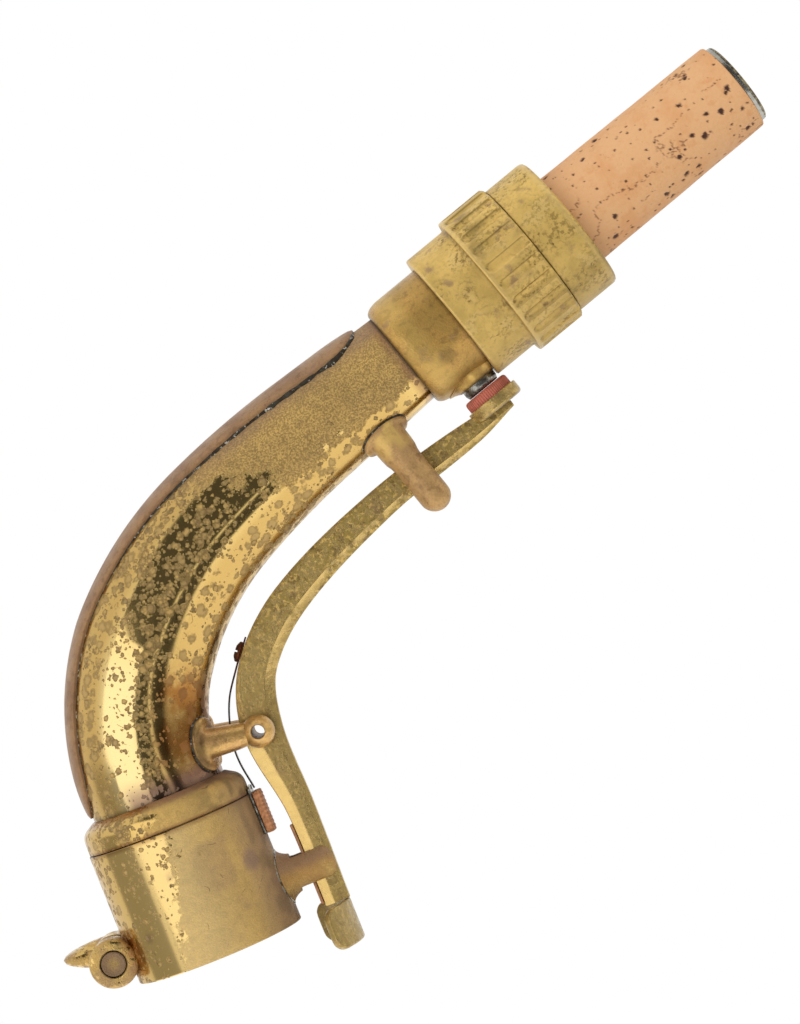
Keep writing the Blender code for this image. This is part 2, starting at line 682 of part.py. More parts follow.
def make_brace():
    """Strap soldered along the outside of the bend, pointed at both ends."""
    low = BRACE_START
    high = NECK_LENGTH - BRACE_END_SETBACK
    # The points widen fast, so they take closer stations than the tube's own
    steps = [BRACE_POINT_LENGTH * i / BRACE_POINT_STEPS for i in range(BRACE_POINT_STEPS + 1)]
    foot_point = [station_at(low + step) for step in steps]
    top_point = [station_at(high - step) for step in reversed(steps)]
    middle = [station for station in NECK if foot_point[-1][2] < station[2] < top_point[0][2]]
    rings = []
    for place, lean, length in foot_point + middle + top_point:
        share = (length - low) / (high - low)
        end = min(length - low, high - length) / BRACE_POINT_LENGTH
        fullness = BRACE_POINT + (1 - BRACE_POINT) * min(end, 1.0)
        half_width = fullness * (BRACE_HALF_WIDTH + (BRACE_TIP_HALF_WIDTH - BRACE_HALF_WIDTH) * share)
        seat = tube_radius(length) + SOLDER_GAP
        spread = asin(half_width / seat)
        # The inner face is made of chords, so its corners stand out until the chords clear the seat
        under = seat / cos(spread / (BRACE_ARC_POINTS - 1))
        over = under + fullness * BRACE_THICKNESS
        angles = [spread * (2 * i / (BRACE_ARC_POINTS - 1) - 1) for i in range(BRACE_ARC_POINTS)]
        spokes = [cos(a) * outward(lean) + sin(a) * Vector((0, 1, 0)) for a in angles]
        rings.append([place + over * s for s in spokes] + [place + under * s for s in reversed(spokes)])
    add_piece("top_brace", loft(rings), BROWN_BRASS)


def make_saddle_post(name, stem, flange_radius, frame, tools):
    """Turned stem on a thin flange that follows the tube's wall. The stem starts inside the tube."""
    flange = cylinder(flange_radius, -FLANGE_WRAP, FLANGE_WRAP, SMALL_ROUND)
    post = add_piece(name, flange, BROWN_BRASS, frame)
    combine(post, "INTERSECT", tools["tube_flange"])
    combine(post, "UNION", add_tool(name + "_stem", turned(stem, SMALL_ROUND), frame))
    combine(post, "DIFFERENCE", tools["tube_seat"])
    return post


def make_pivot(tools):
    """Two ball-ended posts and the hollow pin through them."""
    for name, side in (("pivot_post_front", -1.0), ("pivot_post_rear", 1.0)):
        base = inner_skin(POST_PLACE, side * POST_FOOT_SPREAD)
        ball = PIVOT + Vector((0.0, side * POST_SPREAD, 0.0))
        reach = (ball - base).length
        neck_angle = asin(POST_STEM_RADIUS / BALL_RADIUS)
        angles = [neck_angle + (pi - neck_angle) * i / BALL_STEPS for i in range(BALL_STEPS)]
        bulb = [(BALL_RADIUS * sin(a), reach - BALL_RADIUS * cos(a)) for a in angles]
        root = -2 * FLANGE_THICKNESS
        stem = [(0.0, root), (POST_STEM_BASE_RADIUS, root), (POST_STEM_BASE_RADIUS, FLANGE_THICKNESS)]
        stem += bulb + [(0.0, reach + BALL_RADIUS)]
        post = make_saddle_post(name, stem, POST_FLANGE_RADIUS, aim(base, ball), tools)
        combine(post, "DIFFERENCE", tools["hinge_hole"])

    half = POST_SPREAD + BALL_HALF - PIN_RECESS
    pin = turned([(PIN_BORE, -half), (PIN_RADIUS, -half), (PIN_RADIUS, half), (PIN_BORE, half)], SMALL_ROUND)
    add_piece("hinge_pin", pin, BROWN_BRASS, aim(PIVOT, PIVOT + Vector((0.0, 1.0, 0.0))))


def make_pegs(tools):
    """Guard pegs that keep the lever straight and safe, one on each side of it."""
    middle = SHOULDER - PEG_SETBACK * heading(TIP_LEAN)
    down = -outward(TIP_LEAN)
    wall = tube_radius(NECK_LENGTH - PEG_SETBACK)
    offset = LEVER_HALF_WIDTH + SIDE_PLAY + PEG_RADIUS
    stem = [(0.0, -wall / 2), (PEG_NECK_RADIUS, -wall / 2), (PEG_NECK_RADIUS, FLANGE_THICKNESS)]
    stem += [(PEG_RADIUS, PEG_NECK_LENGTH)] + round_end(PEG_RADIUS, PEG_LENGTH)
    for name, side in (("guard_peg_front", -1.0), ("guard_peg_rear", 1.0)):
        root = middle + down * wall + Vector((0.0, side * offset, 0.0))
        make_saddle_post(name, stem, PEG_FLANGE_RADIUS, aim(root, root + down), tools)


def make_key_guide(tools):
    """Forked post on the socket. The lever's foot end swings in its slot."""
    wall = SOCKET_RADIUS
    rim = (GUIDE_FLANGE_RADIUS, wall + 2 * SOLDER_GAP)
    flare = bow(rim, (GUIDE_RADIUS, wall + GUIDE_NECK_LENGTH), GUIDE_FLARE)
    root = wall - GUIDE_FLANGE_RADIUS / 2
    profile = [(0.0, root), (GUIDE_FLANGE_RADIUS, root)] + flare
    profile += round_end(GUIDE_RADIUS, wall + GUIDE_LENGTH)
    axis = Vector((0.0, 0.0, GUIDE_HEIGHT))
    frame = aim(axis, axis + Vector((1.0, 0.0, 0.0)))
    guide = add_piece("key_guide_fork", turned(profile, MIDDLE_ROUND), BROWN_BRASS, frame)
    combine(guide, "DIFFERENCE", tools["sleeve_seat"])
    floor = wall + GUIDE_SLOT_FLOOR
    slot = rectangle(LEVER_HALF_WIDTH + SIDE_PLAY, 2 * GUIDE_FLANGE_RADIUS)
    slot_rings = [
        [Vector((x, y, GUIDE_HEIGHT + z)) for y, z in slot] for x in (floor, floor + 2 * GUIDE_LENGTH)
    ]
    combine(guide, "DIFFERENCE", add_tool("fork_slot", loft(slot_rings)))


def make_bumper():
    """Curved plate and cork strip on the socket, under the lever."""
    high = BUMPER_LOW + BUMPER_HEIGHT
    inner = SOCKET_RADIUS + SOLDER_GAP
    plate = arc_block(inner, BUMPER_FACE, BUMPER_HALF_ANGLE, BUMPER_LOW, high + BUMPER_LIFT)
    add_piece("bumper_plate", plate, DARK_SILVER)
    inner = BUMPER_FACE + SOLDER_GAP
    cork = arc_block(inner, inner + BUMPER_CORK, BUMPER_HALF_ANGLE, BUMPER_LOW, high)
    add_piece("bumper_cork", cork, CORK)


def make_receiver():
    """Receiver sleeve on the tube's end, with the flange that holds the nut, and the vent in it."""
    pipe_bore = PIPE_RADIUS + RUNNING_GAP
    corner = RECEIVER_RADIUS - RECEIVER_ROUNDING
    shoulder = quarter((corner, RECEIVER_ROUNDING), RECEIVER_ROUNDING, -pi / 2)
    shoulder = [point for point in shoulder if point[0] > RECEIVER_BORE + SOLDER_GAP]
    profile = [(RECEIVER_BORE, 0.0)] + shoulder + [
        (RECEIVER_RADIUS, FLANGE_START),
        (FLANGE_RADIUS, FLANGE_START),
        (FLANGE_RADIUS, RECEIVER_LENGTH),
        (pipe_bore, RECEIVER_LENGTH),
        (pipe_bore, RECEIVER_SEAT),
        (RECEIVER_BORE, RECEIVER_SEAT),
    ]
    receiver = add_piece("tuner_receiver", turned(profile), BROWN_BRASS, TIP)
    hole = cylinder(VENT_HOLE_RADIUS, PIPE_RADIUS / 2, 2 * RECEIVER_RADIUS, SMALL_ROUND)
    combine(receiver, "DIFFERENCE", add_tool("vent_drill", hole, VENT))
    half = RIB_WIDTH / 2 + RUNNING_GAP
    depth = PIPE_RADIUS + RIB_HEIGHT + RUNNING_GAP
    groove = [(-depth, -half), (-PIPE_RADIUS / 2, -half), (-PIPE_RADIUS / 2, half), (-depth, half)]
    groove_rings = [
        [Vector((x, y, z)) for x, y in groove] for z in (RECEIVER_SEAT / 2, 2 * RECEIVER_LENGTH)
    ]
    combine(receiver, "DIFFERENCE", add_tool("rib_groove", loft(groove_rings), TIP))

    seat_core = cylinder(RECEIVER_RADIUS + SOLDER_GAP, -SADDLE_RADIUS, RECEIVER_LENGTH)
    seat = add_tool("receiver_seat", seat_core, TIP)
    nut_room = cylinder(2 * NUT_BAND_RADIUS, NUT_START - RUNNING_GAP, RECEIVER_LENGTH)
    root = RECEIVER_RADIUS / 2
    hole_radius = PIP_RADIUS + SOLDER_GAP
    crown = RECEIVER_RADIUS + SADDLE_STAND
    rim = sqrt(RECEIVER_RADIUS ** 2 - SADDLE_RADIUS ** 2) + SADDLE_RIM
    flare = bow((SADDLE_RADIUS, rim), (hole_radius + SOLDER_GAP, crown), SADDLE_FLARE)
    saddle_profile = [(hole_radius, root), (SADDLE_RADIUS, root)] + flare + [(hole_radius, crown)]
    saddle = add_piece("vent_saddle", turned(saddle_profile, SMALL_ROUND), LACQUERED_BRASS, VENT)
    combine(saddle, "DIFFERENCE", seat)
    combine(saddle, "DIFFERENCE", add_tool("nut_room", nut_room, TIP))
    pip_profile = [
        (VENT_HOLE_RADIUS, root),
        (PIP_RADIUS, root),
        (PIP_RADIUS, PIP_END - PIP_CHAMFER),
        (PIP_RADIUS - PIP_CHAMFER, PIP_END),
        (VENT_HOLE_RADIUS, PIP_END),
    ]
    pip = add_piece("vent_pip", turned(pip_profile, MIDDLE_ROUND), DARK_SILVER, VENT)
    combine(pip, "DIFFERENCE", seat)


def make_nut():
    """Fluted nut on the receiver's flange, the keeper behind the flange and the screwed-on cap."""
    joint = add_joint("tuning_nut_axis", TIP)
    grip_end = GRIP_START + GRIP_LENGTH
    socket_radius = SPIGOT_RADIUS + SOLDER_GAP
    profile = [
        (NUT_BORE, NUT_START),
        (NUT_BAND_RADIUS - NUT_CHAMFER, NUT_START),
        (NUT_BAND_RADIUS, NUT_START + NUT_CHAMFER),
        (NUT_BAND_RADIUS, GRIP_START),
        (GRIP_RADIUS - NUT_CHAMFER, GRIP_START),
        (GRIP_RADIUS, GRIP_START + NUT_CHAMFER),
        (GRIP_RADIUS, grip_end - NUT_CHAMFER),
        (GRIP_RADIUS - NUT_CHAMFER, grip_end),
        (socket_radius, grip_end),
        (socket_radius, grip_end - SPIGOT_LENGTH),
        (NUT_COUNTERBORE, grip_end - SPIGOT_LENGTH),
        (NUT_COUNTERBORE, FLANGE_START - RUNNING_GAP),
        (NUT_BORE, FLANGE_START - RUNNING_GAP),
    ]
    nut = add_piece("tuning_nut", turned(profile, 2 * FLUTES), SATIN_BRASS, TIP, joint)
    combine(nut, "DIFFERENCE", add_tool("flute_mills", flute_mills(), TIP))

    keeper = [
        (KEEPER_BORE, KEEPER_START),
        (FLANGE_RADIUS, KEEPER_START),
        (FLANGE_RADIUS, KEEPER_END),
        (KEEPER_BORE, KEEPER_END),
    ]
    add_piece("nut_keeper_ring", turned(keeper), SATIN_BRASS, TIP, joint)

    cap = [
        (NUT_COUNTERBORE, CAP_START - SPIGOT_LENGTH),
        (SPIGOT_RADIUS, CAP_START - SPIGOT_LENGTH),
        (SPIGOT_RADIUS, CAP_START),
        (CAP_RADIUS, CAP_START),
        (CAP_RADIUS, CAP_END - NUT_CHAMFER),
        (CAP_RADIUS - NUT_CHAMFER, CAP_END),
        (CAP_MOUTH, CAP_END),
        (CAP_MOUTH, CHAMBER_END),
        (NUT_COUNTERBORE, CHAMBER_END),
    ]
    add_piece("nut_end_cap", turned(cap), SATIN_BRASS, TIP, joint)


def flute_mills():
    """Cutters round the grip, one for each flute: a ball at the band's end, open past the cap's end."""
    low = GRIP_START + FLUTE_RIM
    high = GRIP_START + GRIP_LENGTH + FLUTE_RADIUS
    centre = GRIP_RADIUS + FLUTE_RADIUS - FLUTE_DEPTH
    half_chord = sqrt(FLUTE_RADIUS ** 2 - (FLUTE_RADIUS - FLUTE_DEPTH) ** 2)
    ball = (pi / 3, pi / 6, 0.0)
    lower = [(FLUTE_RADIUS * cos(a), low + half_chord - FLUTE_RADIUS * sin(a)) for a in ball]
    first = low + half_chord - FLUTE_RADIUS
    mill = turned([(0.0, first)] + lower + [(FLUTE_RADIUS, high), (0.0, high)], MILL_ROUND)
    bmesh.ops.translate(mill, verts=mill.verts, vec=(centre, 0.0, 0.0))
    half_pitch = Matrix.Rotation(pi / FLUTES, 3, "Z")
    bmesh.ops.rotate(mill, verts=mill.verts, cent=(0, 0, 0), matrix=half_pitch)
    one = list(mill.verts) + list(mill.edges) + list(mill.faces)
    for i in range(1, FLUTES):
        copy = bmesh.ops.duplicate(mill, geom=one)["geom"]
        verts = [item for item in copy if isinstance(item, bmesh.types.BMVert)]
        turn = Matrix.Rotation(2 * pi * i / FLUTES, 3, "Z")
        bmesh.ops.rotate(mill, verts=verts, cent=(0, 0, 0), matrix=turn)
    return mill


def make_mouthpipe():
    """Sliding tube with its screw ring, guide rib, cork and tip ring."""
    joint = add_joint("mouthpipe_axis", TIP)
    bore = PIPE_RADIUS - PIPE_WALL
    pipe_end = CORK_END
    pipe = [(bore, PIPE_START), (PIPE_RADIUS, PIPE_START), (PIPE_RADIUS, pipe_end), (bore, pipe_end)]
    add_piece("mouthpipe_tube", turned(pipe), SATIN_BRASS, TIP, joint)

    seat = PIPE_RADIUS + SOLDER_GAP
    screw_ring_end = SCREW_RING_START + SCREW_RING_LENGTH
    screw_ring = [
        (seat, SCREW_RING_START),
        (FLANGE_RADIUS, SCREW_RING_START),
        (FLANGE_RADIUS, screw_ring_end),
        (seat, screw_ring_end),
    ]
    add_piece("threaded_ring", turned(screw_ring), SATIN_BRASS, TIP, joint)

    half = RIB_WIDTH / 2
    low = sqrt(seat ** 2 + half ** 2)
    high = PIPE_RADIUS + RIB_HEIGHT
    section = [(-high, -half), (-low, -half), (-low, half), (-high, half)]
    rib_start = SCREW_RING_START - SOLDER_GAP - RIB_LENGTH
    rib_rings = [[Vector((x, y, z)) for x, y in section] for z in (rib_start, rib_start + RIB_LENGTH)]
    add_piece("guide_rib", loft(rib_rings), SATIN_BRASS, TIP, joint)

    rounding = quarter((CORK_TIP_RADIUS - CORK_ROUNDING, CORK_END - CORK_ROUNDING), CORK_ROUNDING)
    cork = [(seat, CORK_START), (CORK_BASE_RADIUS, CORK_START), (CORK_BASE_RADIUS, CAP_END)]
    add_piece("neck_cork", turned(cork + rounding + [(seat, CORK_END)]), CORK, TIP, joint)

    low = CORK_END + SOLDER_GAP
    high = low + TIP_RING_LENGTH
    bead = (TIP_RING_RADIUS - bore) / 2
    bead_centre = (bore + bead, high - bead)
    bead_points = quarter(bead_centre, bead) + quarter(bead_centre, bead, pi / 2)[1:]
    ring = [(bore, low), (TIP_RING_RADIUS - SOLDER_GAP, low)] + bead_points
    add_piece("tip_ring", turned(ring), DARK_SILVER, TIP, joint)


def make_octave_key():
    """Lever with its barrel, cup, pad, foot plate, leather, flat spring and spring screw."""
    crossways = aim(PIVOT, PIVOT + Vector((0.0, 1.0, 0.0)))
    joint = add_joint("octave_key_pivot", Matrix.Translation(PIVOT))
    bar = swept_bar(LEVER, lambda half: chamfered(half, LEVER_HALF_WIDTH, LEVER_CHAMFER))
    lever = add_piece("octave_lever", bar, KEY_BRASS, joint=joint)
    wide = 2 * LEVER_HALF_WIDTH
    barrel_hole = cylinder(BARREL_RADIUS + SOLDER_GAP, -wide, wide, SMALL_ROUND)
    combine(lever, "DIFFERENCE", add_tool("barrel_hole", barrel_hole, crossways))
    cup_room = cylinder(CUP_RADIUS + SOLDER_GAP, RECEIVER_RADIUS, CUP_BACK + SOLDER_GAP)
    combine(lever, "DIFFERENCE", add_tool("cup_room", cup_room, VENT))

    half = POST_SPREAD - BALL_HALF - RUNNING_GAP
    barrel = [(BARREL_BORE, -half), (BARREL_RADIUS, -half), (BARREL_RADIUS, half), (BARREL_BORE, half)]
    add_piece("hinge_barrel", turned(barrel, SMALL_ROUND), KEY_BRASS, crossways, joint)

    pad_end = PAD_START + PAD_THICKNESS
    pad_low = quarter((PAD_RADIUS - PAD_ROUNDING, PAD_START + PAD_ROUNDING), PAD_ROUNDING, -pi / 2)
    pad = turned([(0.0, PAD_START)] + pad_low + [(PAD_RADIUS, pad_end), (0.0, pad_end)], MIDDLE_ROUND)
    add_piece("octave_pad", pad, LEATHER, VENT, joint)

    recess = CUP_RADIUS - CUP_WALL
    cup_back = quarter((CUP_RADIUS - CUP_ROUNDING, CUP_BACK - CUP_ROUNDING), CUP_ROUNDING)
    cup = [(0.0, pad_end + SOLDER_GAP), (recess, pad_end + SOLDER_GAP), (recess, CUP_BACK - CUP_HEIGHT)]
    cup += [(CUP_RADIUS, CUP_BACK - CUP_HEIGHT)] + cup_back + [(0.0, CUP_BACK)]
    add_piece("pad_cup", turned(cup, MIDDLE_ROUND), KEY_BRASS, VENT, joint)

    foot_top = LEVER[0][1] - SOLDER_GAP
    foot_bore = FOOT_RADIUS - FOOT_THICKNESS
    plate = arc_block(foot_bore, FOOT_RADIUS, FOOT_HALF_ANGLE, foot_top - FOOT_HEIGHT, foot_top)
    foot_frame = Matrix.Translation((SOCKET_RADIUS + FOOT_STAND - FOOT_RADIUS, 0.0, 0.0))
    add_piece("key_foot", plate, KEY_BRASS, foot_frame, joint)

    rise = (LINER_HIGH - LINER_LOW) / LINER_STEPS
    heights = [LINER_LOW + rise * i for i in range(LINER_STEPS + 1)]
    places = [beside_lever(height, SOLDER_GAP + LINER_THICKNESS / 2)[0] for height in heights]
    strip = [(*place, LINER_HALF_WIDTH) for place in places]
    liner = swept_bar(strip, lambda half: rectangle(LINER_THICKNESS / 2, half))
    add_piece("lever_liner", liner, LEATHER, joint=joint)
    make_spring(joint, lever)


def make_spring(joint, lever):
    """Flat spring that closes the pad: screwed to the lever, sliding on the bumper's plate."""
    seat, run = beside_lever(SPRING_SCREW_HEIGHT, SOLDER_GAP + SPRING_THICKNESS / 2)
    root = seat + run * SPRING_ROOT
    tip_x = BUMPER_FACE + RUNNING_GAP + SPRING_THICKNESS / 2
    tip = Vector((tip_x, BUMPER_LOW + BUMPER_HEIGHT + SPRING_TIP_ABOVE_CORK))
    places = [tuple(root), tuple(seat), tuple(seat - run * SPRING_ROOT)]
    places += [(SOCKET_RADIUS + x, z) for x, z in SPRING_BOW] + [tuple(tip)]
    path = smooth_run(places, SPRING_STEP)
    last = len(path) - 1
    narrow = SPRING_TIP_HALF_WIDTH - SPRING_ROOT_HALF_WIDTH
    path = [(*place, SPRING_ROOT_HALF_WIDTH + narrow * i / last) for i, place in enumerate(path)]
    leaf = swept_bar(path, lambda half: rectangle(SPRING_THICKNESS / 2, half))
    spring = add_piece("leaf_spring", leaf, SPRING_STEEL, joint=joint)

    centre = Vector((seat.x, 0.0, seat.y))
    off_lever = Vector((-run.y, 0.0, run.x))
    frame = aim(centre, centre + off_lever)
    under_head = SPRING_THICKNESS / 2 + SOLDER_GAP
    rim = (SCREW_HEAD_RADIUS, under_head + SCREW_HEAD_HEIGHT / 2)
    crown = bow(rim, (0.0, under_head + SCREW_HEAD_HEIGHT), -SCREW_HEAD_CROWN)
    head = [(0.0, -SCREW_SHANK_LENGTH), (SCREW_SHANK_RADIUS, -SCREW_SHANK_LENGTH)]
    head += [(SCREW_SHANK_RADIUS, under_head), (SCREW_HEAD_RADIUS, under_head)] + crown
    add_piece("spring_screw", turned(head, SCREW_ROUND), SPRING_STEEL, frame, joint)
    hole_depth = SCREW_SHANK_LENGTH + SOLDER_GAP
    hole = cylinder(SCREW_SHANK_RADIUS + SOLDER_GAP, -hole_depth, 2 * under_head, SCREW_ROUND)
    drill = add_tool("spring_drill", hole, frame)
    combine(lever, "DIFFERENCE", drill)
    combine(spring, "DIFFERENCE", drill)


def main():
    clear_scene()
    tools = make_tools()
    make_socket()
    make_clamp(tools)
    make_tube()
    make_brace()
    make_pivot(tools)
    make_pegs(tools)
    make_key_guide(tools)
    make_bumper()
    make_receiver()
    make_nut()
    make_mouthpipe()
    make_octave_key()
    bpy.context.view_layer.update()


main()
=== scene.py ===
"""Looks of an old alto saxophone neck with a tuning nut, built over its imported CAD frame.

The file is laid out as an add-on and run as a script. Each operator makes one group of pieces in
the frame's own metres, +Z up, and main() calls them in order.
"""

from functools import cache, partial
from math import asin, atan2, ceil, cos, pi, radians, sin, sqrt, tan

import bmesh
import bpy
from mathutils import Matrix, Vector, noise


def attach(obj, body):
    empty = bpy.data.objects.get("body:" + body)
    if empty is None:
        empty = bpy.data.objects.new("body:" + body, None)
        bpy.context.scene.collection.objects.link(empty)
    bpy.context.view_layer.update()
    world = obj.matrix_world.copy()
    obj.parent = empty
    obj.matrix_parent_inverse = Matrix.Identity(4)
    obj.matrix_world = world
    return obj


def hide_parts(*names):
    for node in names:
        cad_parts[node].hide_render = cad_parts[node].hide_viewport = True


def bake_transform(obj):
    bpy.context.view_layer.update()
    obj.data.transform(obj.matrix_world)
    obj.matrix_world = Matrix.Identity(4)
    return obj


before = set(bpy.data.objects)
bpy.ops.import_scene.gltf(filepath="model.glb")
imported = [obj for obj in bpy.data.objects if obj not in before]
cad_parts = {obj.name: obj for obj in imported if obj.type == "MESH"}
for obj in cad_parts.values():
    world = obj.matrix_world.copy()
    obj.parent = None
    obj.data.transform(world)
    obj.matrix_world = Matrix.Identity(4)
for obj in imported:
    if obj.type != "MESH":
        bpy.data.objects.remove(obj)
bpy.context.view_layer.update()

bl_info = {
    "name": "Saxophone neck looks",
    "version": (1, 0, 0),
    "blender": (4, 5, 0),
    "location": "3D View > Sidebar > Neck",
    "description": "Builds the pieces and finishes of an alto saxophone neck over its CAD frame",
    "category": "Add Mesh",
}

MM = 0.001

# Sizes of the CAD part, in metres. Only the pegs are drawn a little thicker
GAP = 0.10 * MM
RUNNING_GAP = 0.14 * MM
SOCKET_RADIUS = 14.1 * MM
SOCKET_WALL = 0.9 * MM
SOCKET_HEIGHT = 22.0 * MM
TENON_RADIUS = 12.1 * MM
TENON_WALL = 0.7 * MM
COLLAR_TOP = 27.0 * MM
SLIT_WIDTH = 1.6 * MM
SLIT_HEIGHT = 14.0 * MM
SLIT_DRILL = 1.3 * MM
CLAMP = Vector((-16.24 * MM, 0.0, 4.9 * MM))
LUG_RADIUS = 4.0 * MM
LUG_START = 0.8 * MM
LUG_END = 6.8 * MM
SCREW_RADIUS = 2.0 * MM
TUBE_FOOT = 22.2 * MM
TUBE_RADIUS = 11.2 * MM
TUBE_TIP_RADIUS = 8.2 * MM
TUBE_WALL = 0.7 * MM
TAPER_START = 30.0 * MM
STRAIGHT = 0.0
NECK_RUNS = (
    (STRAIGHT, 6.4 * MM),
    (35.3 * MM, radians(41.2)),
    (53.9 * MM, radians(23.0)),
    (144.0 * MM, radians(8.1)),
    (STRAIGHT, 19.3 * MM),
)
NECK_LENGTH = sum(turn * (radius or 1.0) for radius, turn in NECK_RUNS)
RECEIVER_RADIUS = 9.9 * MM
RECEIVER_BORE = 8.3 * MM
RECEIVER_END = 22.3 * MM
FLANGE_START = 20.4 * MM
FLANGE_RADIUS = 10.5 * MM
NUT_START = 10.4 * MM
NUT_BAND_RADIUS = 11.8 * MM
GRIP_START = 18.3 * MM
GRIP_END = 27.3 * MM
GRIP_RADIUS = 13.15 * MM
CAP_END = 35.2 * MM
CAP_RADIUS = 12.3 * MM
CAP_MOUTH = 8.47 * MM
CHAMBER_RADIUS = 10.64 * MM
FLUTES = 24
PIPE_RADIUS = 7.0 * MM
PIPE_BORE = 6.4 * MM
SCREW_RING_START = 27.42 * MM
SCREW_RING_END = 30.42 * MM
CORK_START = 30.52 * MM
CORK_END = 69.5 * MM
CORK_BASE_RADIUS = 8.33 * MM
CORK_TIP_RADIUS = 8.05 * MM
VENT_PLACE = 7.1 * MM
PIP_RADIUS = 3.1 * MM
PIP_END = 12.2 * MM
PAD_RADIUS = 4.1 * MM
PAD_START = 12.3 * MM
PAD_END = 14.8 * MM
CUP_RADIUS = 4.7 * MM
CUP_BACK = 16.3 * MM
CUP_LIP = 14.1 * MM
PIVOT = Vector((19.2 * MM, 0.0, 31.0 * MM))
POST_PLACE = 11.4 * MM
POST_FOOT_SPREAD = 4.8 * MM
POST_SPREAD = 5.2 * MM
BALL_RADIUS = 2.7 * MM
HINGE_HOLE = 1.6 * MM
PIN_RADIUS = 1.5 * MM
PIN_BORE = 1.15 * MM
POST_FLANGE = 4.5 * MM
PEG_SETBACK = 10.1 * MM
PEG_SPREAD = 4.4 * MM
PEG_FLANGE = 4.3 * MM
PEG_RADIUS = 2.62 * MM
PEG_END = 14.4 * MM
GUIDE_HEIGHT = 7.3 * MM
GUIDE_FLANGE = 4.6 * MM
GUIDE_RADIUS = 3.15 * MM
GUIDE_END = 8.8 * MM
GUIDE_SLOT_HALF = 1.85 * MM
BUMPER_LOW = 15.0 * MM
BUMPER_HALF_ANGLE = radians(13)
BARREL_RADIUS = 2.49 * MM
BARREL_BORE = 1.64 * MM
BARREL_HALF_LENGTH = 2.885 * MM
LEVER_HALF_WIDTH = 1.6 * MM
# The lever from its foot to its tip: x, z and half its depth, in millimetres
LEVER_POINTS = (
    (20.7, 0.4, 2.10),
    (20.7, 17.0, 2.35),
    (19.7, 31.0, 3.35),
    (22.7, 40.5, 3.10),
    (31.9, 48.9, 2.98),
    (50.9, 57.6, 2.55),
    (69.6, 63.1, 1.95),
    (77.0, 65.0, 0.50),
)


def heading(lean):
    """Direction in the XZ plane that leans from +Z towards +X."""
    return Vector((sin(lean), 0.0, cos(lean)))


def outward(lean):
    """Direction square to heading(lean), on the outside of the bend."""
    return Vector((-cos(lean), 0.0, sin(lean)))


def neck_at(length):
    """Place and lean on the tube's centreline at a length from its foot."""
    place = Vector((0.0, 0.0, TUBE_FOOT))
    lean = 0.0
    left = length
    for number, (radius, run) in enumerate(NECK_RUNS):
        if radius == STRAIGHT:
            step = left if number == len(NECK_RUNS) - 1 else min(left, run)
            place = place + step * heading(lean)
            left -= step
        else:
            turn = min(left / radius, run)
            place = place + 2 * radius * sin(turn / 2) * heading(lean + turn / 2)
            lean += turn
            left -= turn * radius
        if left <= 0:
            break
    return place, lean


def tube_radius(length):
    """Outer radius of the tube at a length from its foot."""
    share = (length - TAPER_START) / (NECK_LENGTH - TAPER_START)
    return TUBE_RADIUS + (TUBE_TIP_RADIUS - TUBE_RADIUS) * min(max(share, 0.0), 1.0)


SHOULDER, TIP_LEAN = neck_at(NECK_LENGTH)
TIP_AXIS, TIP_DOWN = heading(TIP_LEAN), -outward(TIP_LEAN)
TIP = Matrix.Translation(SHOULDER) @ Matrix.Rotation(TIP_LEAN, 4, "Y")
VENT = TIP @ Matrix.Translation((0.0, 0.0, VENT_PLACE)) @ Matrix.Rotation(pi / 2, 4, "Y")
ACROSS = Vector((0.0, 1.0, 0.0))


def linear(code):
    """Linear RGBA of an sRGB hex colour."""
    parts = [int(code[i:i + 2], 16) / 255 for i in (1, 3, 5)]
    return tuple(v / 12.92 if v <= 0.04045 else ((v + 0.055) / 1.055) ** 2.4 for v in parts) + (1.0,)


def colour(name, code, description):
    """Colour setting whose default is an sRGB hex value."""
    return bpy.props.FloatVectorProperty(
        name=name, description=description, subtype="COLOR", size=4, min=0.0, max=1.0, default=linear(code)
    )


def length(name, millimetres, description):
    """Length setting in metres, from a default in millimetres."""
    return bpy.props.FloatProperty(
        name=name, description=description, subtype="DISTANCE", unit="LENGTH", min=0.0,
        default=millimetres * MM, precision=5
    )


